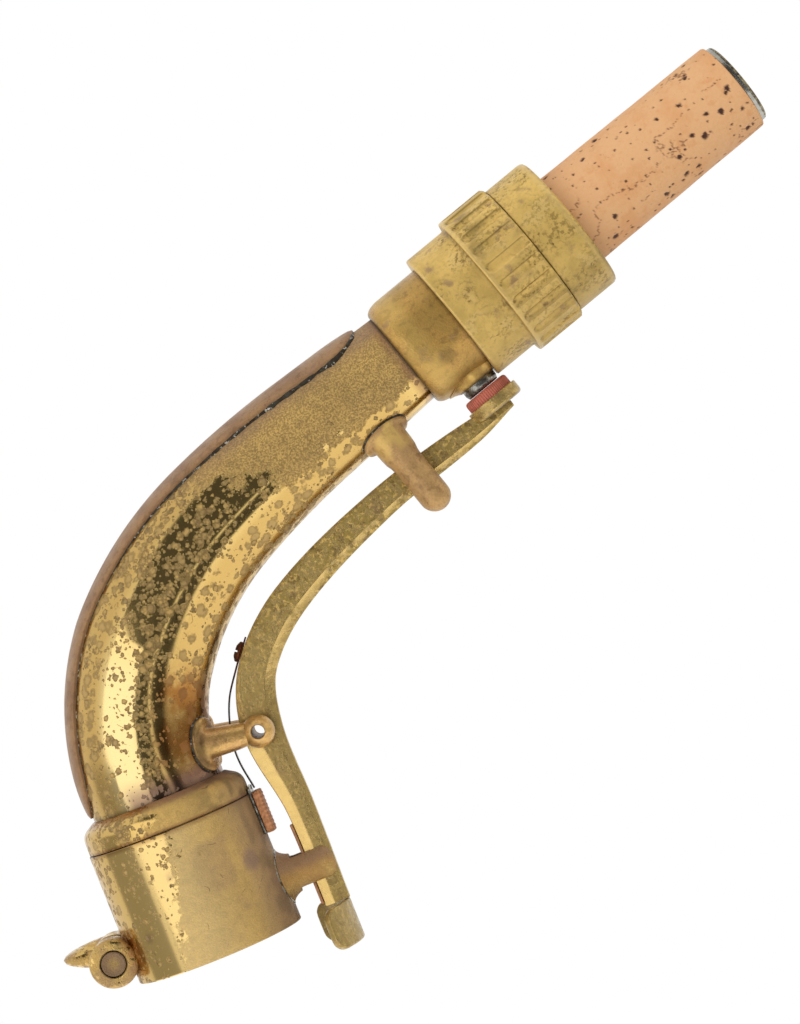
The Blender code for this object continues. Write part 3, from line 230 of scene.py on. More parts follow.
class NeckColours(bpy.types.PropertyGroup):
    """Colours of the finishes."""

    gold: colour("Lacquered gold", "#DBBA74", "Polished brass where the lacquer still holds")
    bare: colour("Bare brass", "#D3AC60", "Brass that has dulled under lost lacquer")
    # The pale gold is a painted highlight: it lies where the softbox is mirrored on the lower tube and the
    # sleeve.
    pale: colour("Pale gold", "#F0DDA8", "Brass polished pale under thin lacquer")
    patina: colour("Patina", "#9A7F4C", "Dull tarnish spots and blotches")
    rim: colour("Spot rim", "#58401C", "Brown rims of the tarnish spots")
    copper: colour("Copper stain", "#94602C", "Old heat and acid stains beside soldered joints")
    violet: colour("Violet stain", "#87695A", "Purple-brown heat tint near soldered seams")
    # The grime colour also serves as painted shade: under the nut and cap, on the flutes' upper walls, in the
    # cap's mouth, on the right side of sleeve and collar and on the foot's far half.
    dirt_and_shade_tone: colour("Grime", "#33291A", "Dirt in corners and grooves")
    strap: colour("Strap brown", "#9E7A54", "Brace strap, browned along its length")
    strap_dark: colour("Dark strap brown", "#7C5B45", "Darker clouds on the browned brass")
    haze: colour("Hazed gold", "#B48E4C", "Lacquer that has yellowed and clouded")
    sleeve: colour("Receiver brown", "#BE944E", "Receiver, toned olive-brown")
    peg: colour("Peg brown", "#C49C64", "Pegs and hinge pin, handled to a matte tan")
    post: colour("Post brown", "#DAAC6C", "Ball posts, polished by fingers to an orange brown")
    dark_brown: colour("Dark brown brass", "#5E432A", "The darkest parts of browned brass")
    satin: colour("Satin brass", "#DCB868", "Turned brass with a fine dull bloom")
    olive: colour("Olive bloom", "#98803F", "Greenish dull patches on turned and cast brass")
    key: colour("Key brass", "#AE945C", "Cast lever brass")
    silver: colour("Tarnished silver", "#A9A79E", "Silver plate, toned grey")
    black_silver: colour("Black tarnish", "#3A362F", "Silver tarnish in the hollows")
    solder: colour("Solder", "#4A463B", "Old tin solder along the joints")
    chip: colour("Solder chip", "#C9C4B6", "Bright chips in the solder")
    steel: colour("Blued steel", "#2E2A28", "Spring steel")
    rust: colour("Rust", "#6E3B1E", "Rust on spring and screw")
    cork: colour("Cork", "#DCA976", "Greased neck cork")
    cork_warm: colour("Warm cork", "#D08E54", "Orange patches in the cork")
    cork_pit: colour("Cork pit", "#45200F", "Pores and cracks in the cork")
    bumper: colour("Bumper cork", "#C98A5A", "Old cork strip under the lever")
    leather: colour("Pad leather", "#CC6852", "Brick-red pad leather")
    liner: colour("Liner leather", "#B07A4E", "Brown leather under the lever's foot")
    floor: colour("Floor", "#F4F4F4", "Floor paper")


class NeckSizes(bpy.types.PropertyGroup):
    """Sizes of the surface detail."""

    spot: length("Spot spacing", 1.2, "Distance between tarnish spots")
    blotch: length("Blotch spacing", 1.75, "Distance between the large dull blotches")
    grain: length("Satin grain", 0.28, "Width of the satin's grain, drawn coarser than the real one to show")
    solder: length("Solder bead", 0.20, "Width of the solder along brace and flanges")
    pit: length("Cork pore spacing", 2.1, "Distance between the large cork pores")
    pleat: length("Pad pleat", 0.42, "Width of the pleats round the pad's leather")
    rib: length("Bumper rib", 0.7, "Spacing of the ribs on the bumper's cork")
    thread: length("Screw thread", 0.5, "Pitch of the thumb screw")
    floor_drop: length("Floor drop", 120.0, "Height of the floor below the origin")


def add_node(tree, kind, feeds=(), **settings):
    """Adds a node with its settings, and feeds its inputs from other outputs or plain values."""
    made = tree.nodes.new(kind)
    for key, value in settings.items():
        setattr(made, key, value)
    for key, value in dict(feeds).items():
        if isinstance(value, bpy.types.NodeSocket):
            tree.links.new(value, made.inputs[key])
        else:
            made.inputs[key].default_value = value
    return made.outputs


SMOOTH = {"interpolation_type": "SMOOTHSTEP"}


def start_finish(name, metallic, *shares, specular=0.5):
    """New material. Gives it with its node maker, shader, place and the named shares of its pieces."""
    material = bpy.data.materials.new(name)
    material.use_nodes = True
    tree = material.node_tree
    shader = tree.nodes["Principled BSDF"]
    shader.inputs["Metallic"].default_value = metallic
    shader.inputs["Specular IOR Level"].default_value = specular
    node = partial(add_node, tree)
    marks = [node("ShaderNodeAttribute", attribute_name=key)["Fac"] for key in shares]
    return material, node, shader, node("ShaderNodeTexCoord")["Object"], *marks


def feed_shader(node, shader, tint, height, depth, **sockets):
    """Links the shader's inputs, with relief from a height of 0 to 1 that stands for a depth.

    An input takes an output, or a mask with the values that it stands for at 0 and at 1.
    """
    links = shader.id_data.links
    for key, output in {"base_color": tint, **sockets}.items():
        if isinstance(output, tuple):
            mask, low, high = output
            output = node("ShaderNodeMapRange", {"Value": mask, "To Min": low, "To Max": high})[0]
        links.new(output, shader.inputs[key.replace("_", " ").title()])
    links.new(node("ShaderNodeBump", {"Height": height, "Distance": depth})[0], shader.inputs["Normal"])


def layered(node, base, coats):
    """Lays colours over a base one after the other, each as strongly as its masks and its share say."""
    result = base
    for amount, *factors, coat in coats:
        for factor in factors:
            amount = node("ShaderNodeMath", {0: amount, 1: factor}, operation="MULTIPLY")[0]
        result = node("ShaderNodeMix", {0: amount, 6: result, 7: coat}, data_type="RGBA")[2]
    return result


def cloudy(node, place, size, low, high, detail=4.0):
    """Mask from a noise whose lumps are about size across: 0 under low and 1 over high."""
    feeds = {"Vector": place, "Scale": 1 / size, "Detail": detail, "Roughness": 0.6}
    feeds = {"Value": node("ShaderNodeTexNoise", feeds)[0], "From Min": low, "From Max": high}
    return node("ShaderNodeMapRange", feeds, **SMOOTH)[0]


def spotted(node, place, spacing, covered, soft):
    """Ragged round spots about spacing apart, more and larger as covered goes from 0 to 1.

    Gives the mask of the spots, that of their rims and that of the paler ones. A soft spot fades at its edge.
    """
    feeds = {"Vector": place, "Scale": 1 / (0.4 * spacing), "Detail": 3.0, "Roughness": 0.6}
    shake = node("ShaderNodeTexNoise", feeds)[1]
    shift = node("ShaderNodeVectorMath", {0: shake, 1: (0.5, 0.5, 0.5)}, operation="SUBTRACT")[0]
    shift = node("ShaderNodeVectorMath", {0: shift, "Scale": 0.75 * spacing}, operation="SCALE")[0]
    shaken = node("ShaderNodeVectorMath", {0: place, 1: shift}, operation="ADD")[0]
    cell = node("ShaderNodeTexVoronoi", {"Vector": shaken, "Scale": 1 / spacing})
    pick, tone, _ = node("ShaderNodeSeparateColor", {0: cell["Color"]}).values()
    over = node("ShaderNodeMath", {0: covered, 1: pick}, operation="SUBTRACT")[0]
    feeds = {"Value": over, "From Min": 0.0, "From Max": 0.7, "To Min": 0.04, "To Max": 0.72}
    reach = node("ShaderNodeMapRange", feeds)[0]
    ratio = node("ShaderNodeMath", {0: cell["Distance"], 1: reach}, operation="DIVIDE")[0]
    there = node("ShaderNodeMath", {0: over, 1: 0.02}, operation="GREATER_THAN")[0]
    edge = node("ShaderNodeMapRange", {"Value": ratio, "From Min": 1.0, "From Max": 1 - soft}, **SMOOTH)[0]
    spots = node("ShaderNodeMath", {0: edge, 1: there}, operation="MULTIPLY")[0]
    inner = node("ShaderNodeMapRange", {"Value": ratio, "From Min": 0.88, "From Max": 0.35}, **SMOOTH)[0]
    rims = node("ShaderNodeMath", {0: spots, 1: inner}, operation="SUBTRACT", use_clamp=True)[0]
    return spots, rims, node("ShaderNodeMath", {0: spots, 1: tone}, operation="MULTIPLY")[0]


LACQUER_MARKS = ("satin", "spoiled", "blotched", "stained", "violet", "grimy", "pale", "sandy")


def worn_lacquered_brass(colours, sizes):
    """Drawn brass, polished and lacquered, with the lacquer gone in spots and whole areas.

    The lacquered parts mirror the room, dark or bright. Spots are a dull brown with a darker rim, and
    where the lacquer is all gone the brass is a soft grainy gold that hardly mirrors.
    """
    finish = start_finish("worn lacquered brass", 1.0, *LACQUER_MARKS)
    material, node, shader, place, satin, spoiled, blotched, stained, violet, grimy, pale, sandy = finish
    ragged = cloudy(node, place, 2.0 * MM, 0.25, 0.75, 7.0)
    border = node("ShaderNodeMath", {0: ragged, 1: 0.7, 2: satin}, operation="MULTIPLY_ADD")[0]
    dull = node("ShaderNodeMapRange", {"Value": border, "From Min": 0.70, "From Max": 0.92}, **SMOOTH)[0]
    gathered = cloudy(node, place, 3.4 * MM, 0.3, 0.7)
    spread = node("ShaderNodeMath", {0: gathered, 1: 0.5, 2: spoiled}, operation="MULTIPLY_ADD")[0]
    large = spotted(node, place, sizes.spot, spread, 0.25)
    small = spotted(node, place, 0.55 * sizes.spot, spread, 0.3)
    spots, rims, tones = (
        node("ShaderNodeMath", {0: one, 1: other}, operation="MAXIMUM")[0] for one, other in zip(large, small)
    )
    blots, blot_rims, _ = spotted(node, place, sizes.blotch, blotched, 0.45)
    bloom = node("ShaderNodeMath", {0: blots, 1: 0.6}, operation="MULTIPLY")[0]
    bloom = node("ShaderNodeMath", {0: spots, 1: bloom}, operation="MAXIMUM")[0]
    matte = node("ShaderNodeMath", {0: bloom, 1: dull}, operation="MAXIMUM")[0]
    broad = cloudy(node, place, 9 * MM, 0.3, 0.7)
    grain = cloudy(node, place, sizes.grain, 0.36, 0.64, 2.0)
    worn = cloudy(node, place, 1.3 * MM, 0.42, 0.68, 5.0)
    patchy = cloudy(node, place, 4 * MM, 0.2, 0.55)
    # Hairline scratches: short arcs of a slow noise's middle line
    drift = node("ShaderNodeTexNoise", {"Vector": place, "Scale": 1 / (5 * MM), "Detail": 1.0})[0]
    line = node("ShaderNodeMath", {0: drift, 1: 0.5, 2: 0.006}, operation="COMPARE")[0]
    gaps = cloudy(node, place, 3.0 * MM, 0.58, 0.64)
    scratch = node("ShaderNodeMath", {0: line, 1: gaps}, operation="MULTIPLY")[0]
    tint = layered(node, colours.gold, [
        # pale brightens the gold as a painted highlight where the softbox is mirrored
        (pale, 0.42, colours.pale),
        (blotched, 0.50, colours.haze),
        (blots, 0.42, colours.patina),
        (blot_rims, 0.80, colours.rim),
        (spots, 0.95, colours.patina),
        (tones, 0.65, colours.bare),
        (rims, 0.80, colours.rim),
        (scratch, 0.55, colours.rim),
        (dull, 1.0, colours.bare),
        (dull, broad, 0.40, colours.patina),
        (dull, worn, 0.30, colours.patina),
        (dull, grain, 0.14, colours.rim),
        (dull, sandy, grain, 0.50, colours.rim),
        (dull, pale, 0.45, colours.pale),
        (dull, scratch, 0.7, colours.rim),
        (stained, patchy, 0.90, colours.copper),
        (violet, 0.85, colours.violet),
        (grimy, 1.0, colours.dirt_and_shade_tone),
    ])
    rough = node("ShaderNodeMapRange", {"Value": matte, "To Min": 0.11, "To Max": 0.50})[0]
    rough = node("ShaderNodeMath", {0: blotched, 1: 0.12, 2: rough}, operation="MULTIPLY_ADD")[0]
    height = node("ShaderNodeMath", {0: grain, 1: dull}, operation="MULTIPLY")[0]
    height = node("ShaderNodeMath", {0: bloom, 1: -0.5, 2: height}, operation="MULTIPLY_ADD")[0]
    metal = (matte, 1.0, 0.35)
    feed_shader(node, shader, tint, height, 0.045 * MM, roughness=rough, metallic=metal)
    return material


def browned_brass(name, base, patch, gloss, metal, colours, sizes):
    """Cast and turned brass browned by solder heat and fingers, wiped bright on its high parts. On the
    receiver's shoulder that brightness is a painted highlight.

    It reads as a warm brown with a soft sheen, cloudy between lighter and darker brown.
    """
    finish = start_finish(name, metal, "grimy", "bright", specular=0.25)
    material, node, shader, place, grimy, bright = finish
    base, patch = getattr(colours, base), getattr(colours, patch)
    broad = cloudy(node, place, 5 * MM, 0.35, 0.7)
    small = cloudy(node, place, 1.1 * MM, 0.50, 0.66, 6.0)
    stain = cloudy(node, place, 3.6 * MM, 0.60, 0.72, 5.0)
    grain = cloudy(node, place, sizes.grain, 0.36, 0.64, 2.0)
    _, rims, _ = spotted(node, place, 1.6 * MM, 0.35, 0.5)
    tint = layered(node, base, [
        (broad, 0.55, patch),
        (small, 0.35, colours.dark_brown),
        (stain, 0.50, colours.violet),
        (grain, 0.16, colours.dark_brown),
        (rims, 0.45, colours.dark_brown),
        (bright, 1.0, colours.satin),
        (bright, small, 0.5, patch),
        (grimy, 1.0, colours.dirt_and_shade_tone),
    ])
    feed_shader(node, shader, tint, grain, 0.016 * MM, roughness=(broad, gloss, gloss + 0.12))
    return material


def satin_brass(colours, sizes):
    """Turned brass, once plated, now a dull olive gold with fine pits, rubbed patches and brown stains.

    Light spreads into a soft broad sheen. Dark dirt in corners and grooves shares one mask with painted shade
    under the nut and on the flutes' upper walls, and rubbed edges share another with painted highlights on
    the flutes' lower walls and the cap's rim.
    """
    finish = start_finish("turned satin brass", 0.34, "grimy", "bright", specular=0.2)
    material, node, shader, place, grimy, bright = finish
    broad = cloudy(node, place, 7 * MM, 0.35, 0.72)
    rubbed = cloudy(node, place, 4.6 * MM, 0.54, 0.60, 7.0)
    speck = cloudy(node, place, 0.6 * MM, 0.46, 0.62, 4.0)
    stain = cloudy(node, place, 3.4 * MM, 0.57, 0.70, 6.0)
    dirty = cloudy(node, place, 6 * MM, 0.46, 0.62, 5.0)
    spots, _, _ = spotted(node, place, 0.8 * MM, 0.34, 0.4)
    pits = node("ShaderNodeMath", {0: spots, 1: dirty}, operation="MULTIPLY")[0]
    tint = layered(node, colours.satin, [
        (broad, 0.50, colours.olive),
        (speck, 0.16, colours.patina),
        (rubbed, 0.60, colours.gold),
        (rubbed, speck, 0.55, colours.olive),
        (stain, 0.60, colours.violet),
        (dirty, speck, 0.50, colours.rim),
        (pits, 0.75, colours.rim),
        (bright, 0.85, colours.gold),
        (grimy, 1.0, colours.dirt_and_shade_tone),
    ])
    height = node("ShaderNodeMath", {0: speck, 1: pits}, operation="ADD")[0]
    height = node("ShaderNodeMath", {0: height, 1: -1.0}, operation="MULTIPLY")[0]
    feed_shader(node, shader, tint, height, 0.020 * MM, roughness=(bright, 0.44, 0.26))
    return material


def key_brass(colours, sizes):
    """Cast lever brass, filed flat, with greenish dirt settled in its faces.

    The dirt makes a dull mottled olive with gold flecks. Edges and the lower arm are brighter: rubbed, and on
    the lower arm's inner bevel also a painted highlight.
    """
    finish = start_finish("filed key brass", 1.0, "grimy", "bright", specular=0.3)
    material, node, shader, place, grimy, bright = finish
    ruddy = cloudy(node, place, 3.0 * MM, 0.58, 0.68, 6.0)
    dulled = node("ShaderNodeMapRange", {"Value": bright, "To Min": 1.0, "To Max": 0.15})[0]
    clouds = ((1.5 * MM, 0.42, 0.56, 8.0), (1.0 * MM, 0.50, 0.64, 7.0), (0.8 * MM, 0.53, 0.60, 6.0))
    olive, dark, gold = (
        node("ShaderNodeMath", {0: cloudy(node, place, *cloud), 1: dulled}, operation="MULTIPLY")[0]
        for cloud in clouds
    )
    tint = layered(node, colours.key, [
        (olive, 0.85, colours.olive),
        (dark, 0.55, colours.dark_brown),
        (gold, 0.70, colours.satin),
        (ruddy, 0.40, colours.violet),
        (bright, 0.75, colours.gold),
        (grimy, 1.0, colours.dirt_and_shade_tone),
    ])
    height = node("ShaderNodeMath", {0: dark, 1: -1.0, 2: olive}, operation="MULTIPLY_ADD")[0]
    rough, metal = (olive, 0.20, 0.48), (bright, 0.42, 0.95)
    feed_shader(node, shader, tint, height, 0.025 * MM, roughness=rough, metallic=metal)
    return material


def tarnished_silver(colours, sizes):
    """Silver plate that has toned to grey and black, rubbed pale on its edges.

    It mirrors softly, darker in the hollows, with a faint olive cast where brass shows through.
    """
    finish = start_finish("tarnished silver plate", 1.0, "bright", "olive")
    material, node, shader, place, bright, olive = finish
    toned = cloudy(node, place, 1.0 * MM, 0.36, 0.60, 6.0)
    kept = node("ShaderNodeMapRange", {"Value": bright, "To Min": 1.0, "To Max": 0.0})[0]
    toned = node("ShaderNodeMath", {0: toned, 1: kept}, operation="MULTIPLY")[0]
    tint = layered(node, colours.silver, [(olive, 1.0, colours.olive), (toned, 0.85, colours.black_silver)])
    grain = cloudy(node, place, sizes.grain, 0.3, 0.7, 3.0)
    feed_shader(node, shader, tint, grain, 0.010 * MM, roughness=(toned, 0.22, 0.45))
    return material


def tin_solder(colours, sizes):
    """Soft tin solder, wiped hot along a joint: dull dark grey and lumpy, with paler chips and dirt."""
    material, node, shader, place = start_finish("wiped tin solder", 0.6)
    dirt = cloudy(node, place, 1.2 * MM, 0.40, 0.6, 5.0)
    chip = cloudy(node, place, 0.7 * MM, 0.58, 0.64, 5.0)
    tint = layered(node, colours.solder, [(dirt, 0.8, colours.dirt_and_shade_tone), (chip, 0.9, colours.chip)])
    lumps = cloudy(node, place, 0.5 * MM, 0.3, 0.7)
    feed_shader(node, shader, tint, lumps, 0.04 * MM, roughness=(dirt, 0.35, 0.6))
    return material


def spring_steel(colours, sizes):
    """Blued spring steel, nearly black, with brown rust blooming in points."""
    material, node, shader, place, rusty = start_finish("blued spring steel", 0.8, "rusty")
    bloom = cloudy(node, place, 0.9 * MM, 0.45, 0.6, 6.0)
    rust = node("ShaderNodeMath", {0: rusty, 1: bloom, 2: rusty}, operation="MULTIPLY_ADD")[0]
    tint = layered(node, colours.steel, [(rust, 0.6, colours.rust), (bloom, 0.25, colours.rust)])
    feed_shader(node, shader, tint, bloom, 0.015 * MM, roughness=(rust, 0.30, 0.7))
    return material


def neck_cork(colours, sizes):
    """Sheet cork, sanded round and greased: warm peach with black-brown pores, fine cracks and a dry face."""
    finish = start_finish("sanded sheet cork", 0.0, "pit", "crack", "pale")
    material, node, shader, place, pit, crack, pale = finish
    cells = cloudy(node, place, 0.5 * MM, 0.35, 0.7, 3.0)
    broad = cloudy(node, place, 6 * MM, 0.45, 0.68)
    ruddy = cloudy(node, place, 1.7 * MM, 0.56, 0.68, 5.0)
    speck = cloudy(node, place, 0.42 * MM, 0.68, 0.76, 3.0)
    tint = layered(node, colours.cork, [
        (cells, 0.14, colours.cork_warm),
        (broad, 0.45, colours.cork_warm),
        (ruddy, 0.45, colours.cork_warm),
        (pale, 0.55, colours.cork),
        (speck, 0.55, colours.rust),
        (crack, 0.75, colours.rust),
        (pit, 1.0, colours.cork_pit),
    ])
    height = node("ShaderNodeMath", {0: speck, 1: -1.0, 2: cells}, operation="MULTIPLY_ADD")[0]
    feed_shader(node, shader, tint, height, 0.022 * MM, roughness=(cells, 0.62, 0.78))
    return material


def bumper_cork(colours, sizes):
    """Old cork strip, oiled orange-brown and crumbling into ribs."""
    material, node, shader, place, grimy = start_finish("oiled cork strip", 0.0, "grimy")
    crumb = cloudy(node, place, 0.6 * MM, 0.45, 0.66, 5.0)
    tint = layered(node, colours.bumper, [(crumb, 0.35, colours.rust), (grimy, 0.40, colours.rust)])
    feed_shader(node, shader, tint, crumb, 0.04 * MM, roughness=(crumb, 0.6, 0.8))
    return material


def tanned_leather(name, base, grain_size, colours, sizes):
    """Thin tanned skin drawn tight: a fine pebbled grain with darker creases and a waxy sheen."""
    material, node, shader, place, creased = start_finish(name, 0.0, "creased")
    feeds = {"Vector": place, "Scale": 1 / grain_size}
    cell = node("ShaderNodeTexVoronoi", feeds, feature="DISTANCE_TO_EDGE")[0]
    pebble = node("ShaderNodeMapRange", {"Value": cell, "From Max": 0.12})[0]
    crease = node("ShaderNodeMapRange", {"Value": pebble, "To Min": 1.0, "To Max": 0.0})[0]
    worn = cloudy(node, place, 1.8 * MM, 0.4, 0.65, 5.0)
    folds = ((crease, 0.25), (worn, 0.30), (creased, 0.7))
    tint = layered(node, getattr(colours, base), [(*fold, colours.dark_brown) for fold in folds])
    feed_shader(node, shader, tint, pebble, 0.02 * MM, roughness=(worn, 0.5, 0.68))
    return material


# Each finish: the record's slot that it belongs to, and what makes it
FINISHES = {
    "lacquer": ("worn_lacquered_brass", worn_lacquered_brass),
    "strap": ("brown_brass", partial(
        browned_brass, "heat-browned strap brass", "strap", "strap_dark", 0.36, 0.30
    )),
    "sleeve": ("brown_brass", partial(browned_brass, "toned turned brass", "sleeve", "olive", 0.25, 0.42)),
    "peg": ("brown_brass", partial(browned_brass, "handled brown brass", "peg", "strap", 0.38, 0.35)),
    "post": ("brown_brass", partial(
        browned_brass, "finger-polished brass", "post", "strap_dark", 0.24, 0.68
    )),
    "satin": ("satin_brass", satin_brass),
    "key": ("key_brass", key_brass),
    "silver": ("dark_silver", tarnished_silver),
    "solder": ("dark_silver", tin_solder),
    "steel": ("spring_steel", spring_steel),
    "cork": ("cork", neck_cork),
    "bumper": ("cork", bumper_cork),
    "pad": ("red_leather", partial(tanned_leather, "pleated pad leather", "leather", 0.3 * MM)),
    "liner": ("red_leather", partial(tanned_leather, "pared liner leather", "liner", 0.4 * MM)),
}


@cache
def finish_of(key):
    """The material of a finish, made the first time it is asked for."""
    scene = bpy.context.scene
    return FINISHES[key][1](scene.neck_colours, scene.neck_sizes)


def eased(value, low, high):
    """Smooth step from 0 at low to 1 at high."""
    share = min(max((value - low) / (high - low), 0.0), 1.0)
    return share * share * (3 - 2 * share)


def faded(value, low, high):
    """Smooth step from 1 at low to 0 at high."""
    return 1 - eased(value, low, high)


def near(place, centre, reach):
    """1 at a centre, easing to 0 at reach from it."""
    return faded((place - centre).length, 0.3 * reach, reach)


def wander(seed, place, size):
    """Smooth noise from about -1 to 1 with lumps of a size in millimetres."""
    return noise.noise(place / (size * MM) + Vector((seed * 7.3, seed * 3.1, seed * 5.7)))


def clouded(seed, place, size, low, high):
    """Share from that noise: 0 under low and 1 over high."""
    return eased(wander(seed, place, size), low, high)


def aim(start, end):
    """Frame at start whose Z axis points at end."""
    turn = (end - start).to_track_quat("Z", "Y")
    return Matrix.Translation(start) @ turn.to_matrix().to_4x4()


def smooth_run(points, step):
    """Hermite samples, about step apart, through tuples whose first two values are a place."""
    points = [Vector(point) for point in points]
    knots = [0.0]
    for here, after in zip(points, points[1:]):
        knots.append(knots[-1] + (after - here).length)
    last = len(points) - 1
    slopes = []
    for i in range(last + 1):
        low, high = max(i - 1, 0), min(i + 1, last)
        slopes.append((points[high] - points[low]) / (knots[high] - knots[low]))
    samples = []
    for i in range(last):
        span = knots[i + 1] - knots[i]
        count = ceil(span / step)
        for k in range(count):
            t = k / count
            blend = t * t * (3 - 2 * t)
            place = points[i] * (1 - blend) + points[i + 1] * blend
            place += slopes[i] * span * t * (1 - t) ** 2
            place -= slopes[i + 1] * span * t * t * (1 - t)
            samples.append(tuple(place))
    samples.append(tuple(points[last]))
    return samples


def filleted(corners, closed=True, steps=4):
    """Outline with rounded corners. A corner is two places and, where it is round, a radius."""
    outline = []
    last = len(corners) - 1
    for i, corner in enumerate(corners):
        here = Vector(corner[:2])
        if len(corner) < 3 or (not closed and i in (0, last)):
            outline.append(tuple(here))
            continue
        before = Vector(corners[i - 1][:2]) - here
        after = Vector(corners[(i + 1) % len(corners)][:2]) - here
        reach = corner[2] / tan(before.angle(after) / 2)
        reach = min(reach, 0.49 * before.length, 0.49 * after.length)
        start = here + before.normalized() * reach
        end = here + after.normalized() * reach
        for k in range(steps + 1):
            t = k / steps
            outline.append(tuple(start * (1 - t) ** 2 + here * 2 * t * (1 - t) + end * t * t))
    return outline


def finer(outline, step, closed=False):
    """The outline with points added so that none are much more than step apart."""
    ends = outline[1:] + (outline[:1] if closed else [])
    result = []
    for start, end in zip(outline, ends):
        start, end = Vector(start), Vector(end)
        count = max(1, ceil((end - start).length / step))
        result += [tuple(start.lerp(end, k / count)) for k in range(count)]
    return result if closed else result + [outline[-1]]


# A ring of a smaller radius than this is one point
POLE = 1e-7


def bridge(bm, low, high):
    """Faces between two rows of a skin. A row of one point is a pole."""
    count = max(len(low), len(high))
    for i in range(count):
        j = (i + 1) % count
        if len(low) == 1:
            bm.faces.new((low[0], high[j], high[i]))
        elif len(high) == 1:
            bm.faces.new((low[i], low[j], high[0]))
        else:
            bm.faces.new((low[i], low[j], high[j], high[i]))


def skinned(rings, loop=False, bm=None):
    """Skins a run of rings. A loop joins the last to the first, else open ends are capped."""
    bm = bm or bmesh.new()
    rows = [[bm.verts.new(point) for point in ring] for ring in rings]
    for low, high in zip(rows, rows[1:]):
        bridge(bm, low, high)
    if loop:
        bridge(bm, rows[-1], rows[0])
    else:
        for row in (rows[0], rows[-1]):
            if len(row) > 2:
                bm.faces.new(row)
    return bm


def turned(profile, segments=96, shape=None):
    """Spins (radius, height) points about Z. shape(radius, height, angle) may change a radius."""
    angles = [2 * pi * i / segments for i in range(segments)]
    rings = []
    for radius, height in profile:
        if radius < POLE:
            rings.append([(0.0, 0.0, height)])
            continue
        reach = [shape(radius, height, a) if shape else radius for a in angles]
        rings.append([(r * cos(a), r * sin(a), height) for r, a in zip(reach, angles)])
    return skinned(rings, profile[0][0] > POLE)


def rod(radius, low, high, segments):
    """Plain round bar along Z, used only to cut."""
    return turned([(0.0, low), (radius, low), (radius, high), (0.0, high)], segments)


def with_runs(path):
    """Each point of a path of (x, z, values...), with the path's direction there."""
    for before, here, after in zip(path[:1] + path, path, path[1:] + path[-1:]):
        yield here, Vector((after[0] - before[0], after[1] - before[1])).normalized()


def swept(path, section):
    """Skins section(values) along a path of (x, z, values...). A section is (across, depth) points."""
    rings = []
    for here, run in with_runs(path):
        side = Vector((-run.y, 0.0, run.x))
        centre = Vector((here[0], 0.0, here[1]))
        rings.append([centre + side * across + depth * ACROSS for across, depth in section(*here[2:])])
    return skinned(rings)


def rectangle(low, high):
    """Corners of a rectangle between two places."""
    return [(low[0], low[1]), (high[0], low[1]), (high[0], high[1]), (low[0], high[1])]


def rounded_bar(low, high, rounding, steps=4):
    """Outline of a rectangle between two places, with its corners rounded."""
    return filleted([corner + (rounding,) for corner in rectangle(low, high)], steps=steps)


def box_between(low, high):
    """Plain box, used only to cut."""
    return skinned([[(x, y, z) for x, y in rectangle(low, high)] for z in (low[2], high[2])])


def draped(rows, base, axis, skin, segments=48, loop=False):
    """Stem round an axis whose foot lies on another piece. A row is radius, height and cling.

    With cling 1 a row follows skin(place, height), with cling 0 it is square to the axis.
    """
    turn = axis.to_track_quat("Z", "Y")
    rings = []
    for radius, height, cling in rows:
        if radius < POLE:
            rings.append([base + axis * height])
            continue
        ring = []
        for i in range(segments):
            a = 2 * pi * i / segments
            spoke = turn @ Vector((radius * cos(a), radius * sin(a), 0.0))
            flat = base + spoke + axis * height
            ring.append(flat.lerp(skin(base + spoke, height), cling) if cling else flat)
        rings.append(ring)
    return skinned(rings, loop)


def on_tube(near_length):
    """Skin function of the tube close to a length along it."""
    stations = [near_length + (k - 24) * 0.5 * MM for k in range(49)]
    centres = [(neck_at(max(s, 0.0))[0], tube_radius(s)) for s in stations]

    def skin(place, height):
        number = min(range(1, len(centres) - 1), key=lambda k: (centres[k][0] - place).length)
        start, end = centres[number - 1][0], centres[number + 1][0]
        run = (end - start).normalized()
        foot = start + run * (place - start).dot(run)
        return foot + (place - foot).normalized() * (centres[number][1] + height)

    return skin


def on_shaft(matrix, radius):
    """Skin function of a straight shaft along a frame's Z axis."""
    inverse = matrix.inverted()

    def skin(place, height):
        local = inverse @ place
        spoke = Vector((local.x, local.y, 0.0)).normalized() * (radius + height)
        return matrix @ Vector((spoke.x, spoke.y, local.z))

    return skin


def moved(bm, matrix):
    """The shape, moved by a matrix."""
    bmesh.ops.transform(bm, matrix=matrix, verts=bm.verts)
    return bm


def as_mesh(bm, name):
    """Ends a bmesh as a mesh."""
    mesh = bpy.data.meshes.new(name)
    bm.to_mesh(mesh)
    bm.free()
    return mesh


def carved(bm, *tools):
    """Cuts other shapes out of one."""
    objects = []
    for shape in (bm,) + tools:
        bmesh.ops.recalc_face_normals(shape, faces=shape.faces)
        objects.append(bpy.data.objects.new("carving", as_mesh(shape, "carving")))
        bpy.context.scene.collection.objects.link(objects[-1])
    for tool in objects[1:]:
        cut = objects[0].modifiers.new("cut", "BOOLEAN")
        cut.object = tool
        cut.solver = "EXACT"
    whole = objects[0].evaluated_get(bpy.context.evaluated_depsgraph_get())
    result = bmesh.new()
    result.from_mesh(whole.to_mesh())
    whole.to_mesh_clear()
    for obj in objects:
        mesh = obj.data
        bpy.data.objects.remove(obj)
        bpy.data.meshes.remove(mesh)
    return result


def joined(bm, other):
    """Adds another shape's faces to a shape."""
    mesh = as_mesh(other, "other")
    bm.from_mesh(mesh)
    bpy.data.meshes.remove(mesh)
    return bm


